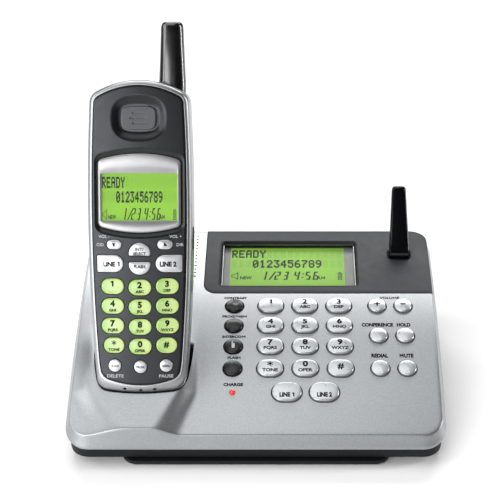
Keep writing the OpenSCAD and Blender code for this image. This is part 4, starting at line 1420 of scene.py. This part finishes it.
def build_stub_antenna():
    """Glossy oblong stub that tapers to a rounded top."""
    low, high = local_box("handset_antenna")
    middle, size = (low + high) / 2, high - low
    top_w, top_d = 11.6, 9.6
    z0, z1 = low.z, high.z
    loops = []
    for z, k, inset in ((z0, 0, 1.5), (z0 + 3, 0, 1.5), (z0 + 3.1, 0, 0), (z0 + 12, 0.05, 0),
                        (z0 + 22, 0.42, 0), (z1 - 3, 0.95, 0), (z1 - 1.6, 1, 0.25),
                        (z1 - 0.7, 1, 0.8), (z1 - 0.2, 1, 1.6), (z1, 1, 2.6)):
        a, b = mix(size.x, top_w, k) / 2 - inset, mix(size.y, top_d, k) / 2 - inset
        loops.append([(middle.x + x, middle.y + y, z) for x, y in superellipse(a, b, 2.3)])
    add_piece("stub_antenna", solid(loops, HANDSET), "black_plastic", "handset", 40,
              replaces="handset_antenna")


def build_jack_flap():
    """Soft cover over the headset socket, with a finger notch."""
    low, high = local_box("headset_jack_cover")
    middle, half = (low + high) / 2, (high - low) / 2
    side = HANDSET @ Matrix(((0, 0, 1, low.x), (1, 0, 0, middle.y), (0, 1, 0, middle.z),
                             (0, 0, 0, 1)))
    thick = 2 * half.x
    loops = [flat(slab(half.y, half.z, 0.9, inset, 6), z)
             for inset, z in ((0, 0), (0, thick - 0.5), (0.12, thick - 0.15), (0.5, thick))]
    notch = prism(rounded_box(-1.6, 1.6, half.z - 2.2, half.z - 1.2, 0.4), thick - 0.4,
                  thick + 1, side)
    add_piece("jack_flap_cover", boolean(solid(loops, side), [notch]), "rubber_black",
              "jack_flap", replaces="headset_jack_cover")


def build_charge_pads():
    """Two pads in the foot of the handset that meet the cradle's pins."""
    pads = [prism(slab(2.2, 2.6, 0.6), 0, 0.5, HANDSET @ shift(x, HS_T / 2, HS_Z0 + 0.94))
            for x in (-9, 9)]
    add_piece("charge_pads", combine(pads), "contact_metal", "handset")


# ---- handset keys

def dome_loop(z0, z1, r, up):
    """Half-round outline with small rounded corners, in the handset's front frame."""
    k = abs(z1 - r - z0)
    c = 0.8
    cx = math.sqrt((r - c) ** 2 - (k - c) ** 2)
    tilt = math.atan2(c - k, cx)
    loop = arc_points((cx, c - k), c, -math.pi / 2, tilt, 5)
    loop += arc_points((0, 0), r, tilt, math.pi - tilt, 30)
    loop += arc_points((-cx, c - k), c, math.pi - tilt, 1.5 * math.pi, 5) + [(-cx, -k)]
    return loop if up else [(-x, -y) for x, y in loop]


def handset_key_shapes():
    """Place and outline of each of the handset's keys, by piece name."""
    boxes = dict(zip(HS_DIGITS, sorted(solid_boxes("handset_digit_keys", HANDSET, True),
                                       key=lambda b: (-round(b[0].z / 4), b[0].x))))
    rounded = {"handset_volume_down_key": None, "handset_volume_up_key": None,
               "handset_hold_key": None, "handset_program_key": None,
               "handset_redial_key": None, "handset_line_1_key": (4.4, 0.9, 0.9, 4.4),
               "handset_line_2_key": (0.9, 4.4, 4.4, 0.9), "select_key": None,
               "flash_key": None}
    boxes.update((node, solid_boxes(node, HANDSET, True)[0]) for node in rounded)
    shapes = {}
    for name, (low, high) in boxes.items():
        middle, half = (low + high) / 2, (high - low) / 2
        loop = stadium(2 * half.x, 2 * half.z)
        if rounded.get(name):
            loop = rounded_box(-half.x, half.x, -half.z, half.z, rounded[name], 0, 8)
        if name in ("select_key", "flash_key"):
            up = name == "select_key"
            middle = Vector((0, 0, high.z - half.x if up else low.z + half.x))
            loop = dome_loop(low.z, high.z, half.x, up)
        shapes[name] = (FRONT @ shift(middle.x, middle.z, 0), loop)
    return shapes


HS_DIGITS = ["handset_digit_" + name for name in "1 2 3 4 5 6 7 8 9 star 0 pound".split()]


def build_handset_keys():
    shapes = handset_key_shapes()
    words = {
        "select_key": [("INT/", 0, 2.2, 1.6, 1, 0.04), ("SELECT", 0, 0, 1.6, 0.88, 0.04)],
        "flash_key": [("FLASH", 0, -1.3, 1.5, 1, 0.05)],
        "handset_line_1_key": [("LINE", -0.5, -0.2, 2.3, 0.92, 0.06), ("1", 4.3, -0.2, 2.3, 1, 0)],
        "handset_line_2_key": [("LINE 2", -0.4, -0.2, 2.3, 0.92, 0.06)],
        "handset_hold_key": [("HOLD", 0, 0, 1.1, 1, 0.05)],
        "handset_program_key": [("PROG", 0, 0, 1.1, 1, 0.05)],
        "handset_redial_key": [("REDIAL", 0, 0, 1.1, 0.75, 0.05)],
    }
    for name, (matrix, loop) in shapes.items():
        x0 = (matrix.translation.x / MM) - CRADLE_X

        def fall(x, x0=x0):
            return crown(x0 + x)
        if name in HS_DIGITS:
            rows = digit_rows(name.replace("handset_digit_", ""), 2.9, 1.35, 1.35, -2.05)
            add_key(name, "handset_digit_keys", loop, matrix, (-2.6, 0.85, 0.5, 0.3), "key_lime",
                    rows, fall, "handset_digit_keys" if name == HS_DIGITS[0] else None)
        else:
            add_key(name + "_cap", name, loop, matrix, (-2.6, 0.85, 0.45, 0.3), "key_white",
                    words.get(name, ()), fall, name)
    for node, way in (("handset_volume_down_key", -1), ("handset_volume_up_key", 1)):
        matrix = shapes[node][0]
        level = 1.1 - crown(matrix.translation.x / MM - CRADLE_X)
        shape = [(1.25 * way * x, 1.25 * way * y) for x, y in ((-1, -0.6), (1, -0.6), (0, 1))]
        mark = solid([flat(shape, level - 0.2), flat(shape, level + 0.06)], matrix)
        add_piece(node + "_mark", mark, "ink_dark", node)
    middle = {name: FRONT.inverted() @ place.translation for name, (place, _) in shapes.items()}
    down, up = middle["handset_volume_down_key"], middle["handset_volume_up_key"]
    hold, redial = middle["handset_hold_key"], middle["handset_redial_key"]
    rows = [("VOL -", down.x - 5.2, down.y + 4.1, 1.5, 1.05, 0.01),
            ("VOL +", up.x + 5.4, up.y + 4.1, 1.5, 1.05, 0.01),
            ("CID", down.x - 7.2, down.y - 0.1, 1.5, 1.05, 0.01),
            ("DIR", up.x + 7.6, up.y - 0.1, 1.5, 1.05, 0.01),
            ("DELETE", hold.x + 0.2, hold.y - 5.4, 1.6, 1.15, 0.01),
            ("PAUSE", redial.x, redial.y - 5.4, 1.6, 1.15, 0.01)]
    add_print("handset_labels", rows, lambda x, y: -crown(x), FRONT, "ink_white", "handset")


# ---- carried-over CAD nodes

CAD_FINISHES = {
    "base_plinth": "charcoal_plastic", "rubber_feet": "rubber_black", "base_screws": "screw_steel",
    "base_display": "screen_surround", "base_lens": "clear_lens",
    "base_circuit_board": "board_green", "base_speaker": "speaker_metal",
    "cradle_contacts": "contact_metal", "charge_lamp": "lamp_red",
    "line_jacks": "charcoal_plastic", "power_inlet": "charcoal_plastic",
    "handset_display": "screen_surround", "handset_circuit_board": "board_green",
    "earpiece_speaker": "speaker_metal", "battery_pack": "cell_blue",
}


def main():
    add_camera()
    add_studio()
    make_materials()
    for node, finish in CAD_FINISHES.items():
        NODES[node].data.materials.clear()
        NODES[node].data.materials.append(FINISHES[finish])
    build_top_cover()
    build_panel()
    build_window()
    build_lower_shell()
    build_cradle_well()
    build_base_antenna()
    build_socket_details()
    build_base_keys()
    build_key_marks()
    build_base_labels()
    build_handset_rim()
    build_face_plate()
    build_screen()
    build_handset_back()
    build_stub_antenna()
    build_jack_flap()
    build_charge_pads()
    build_handset_keys()


main()
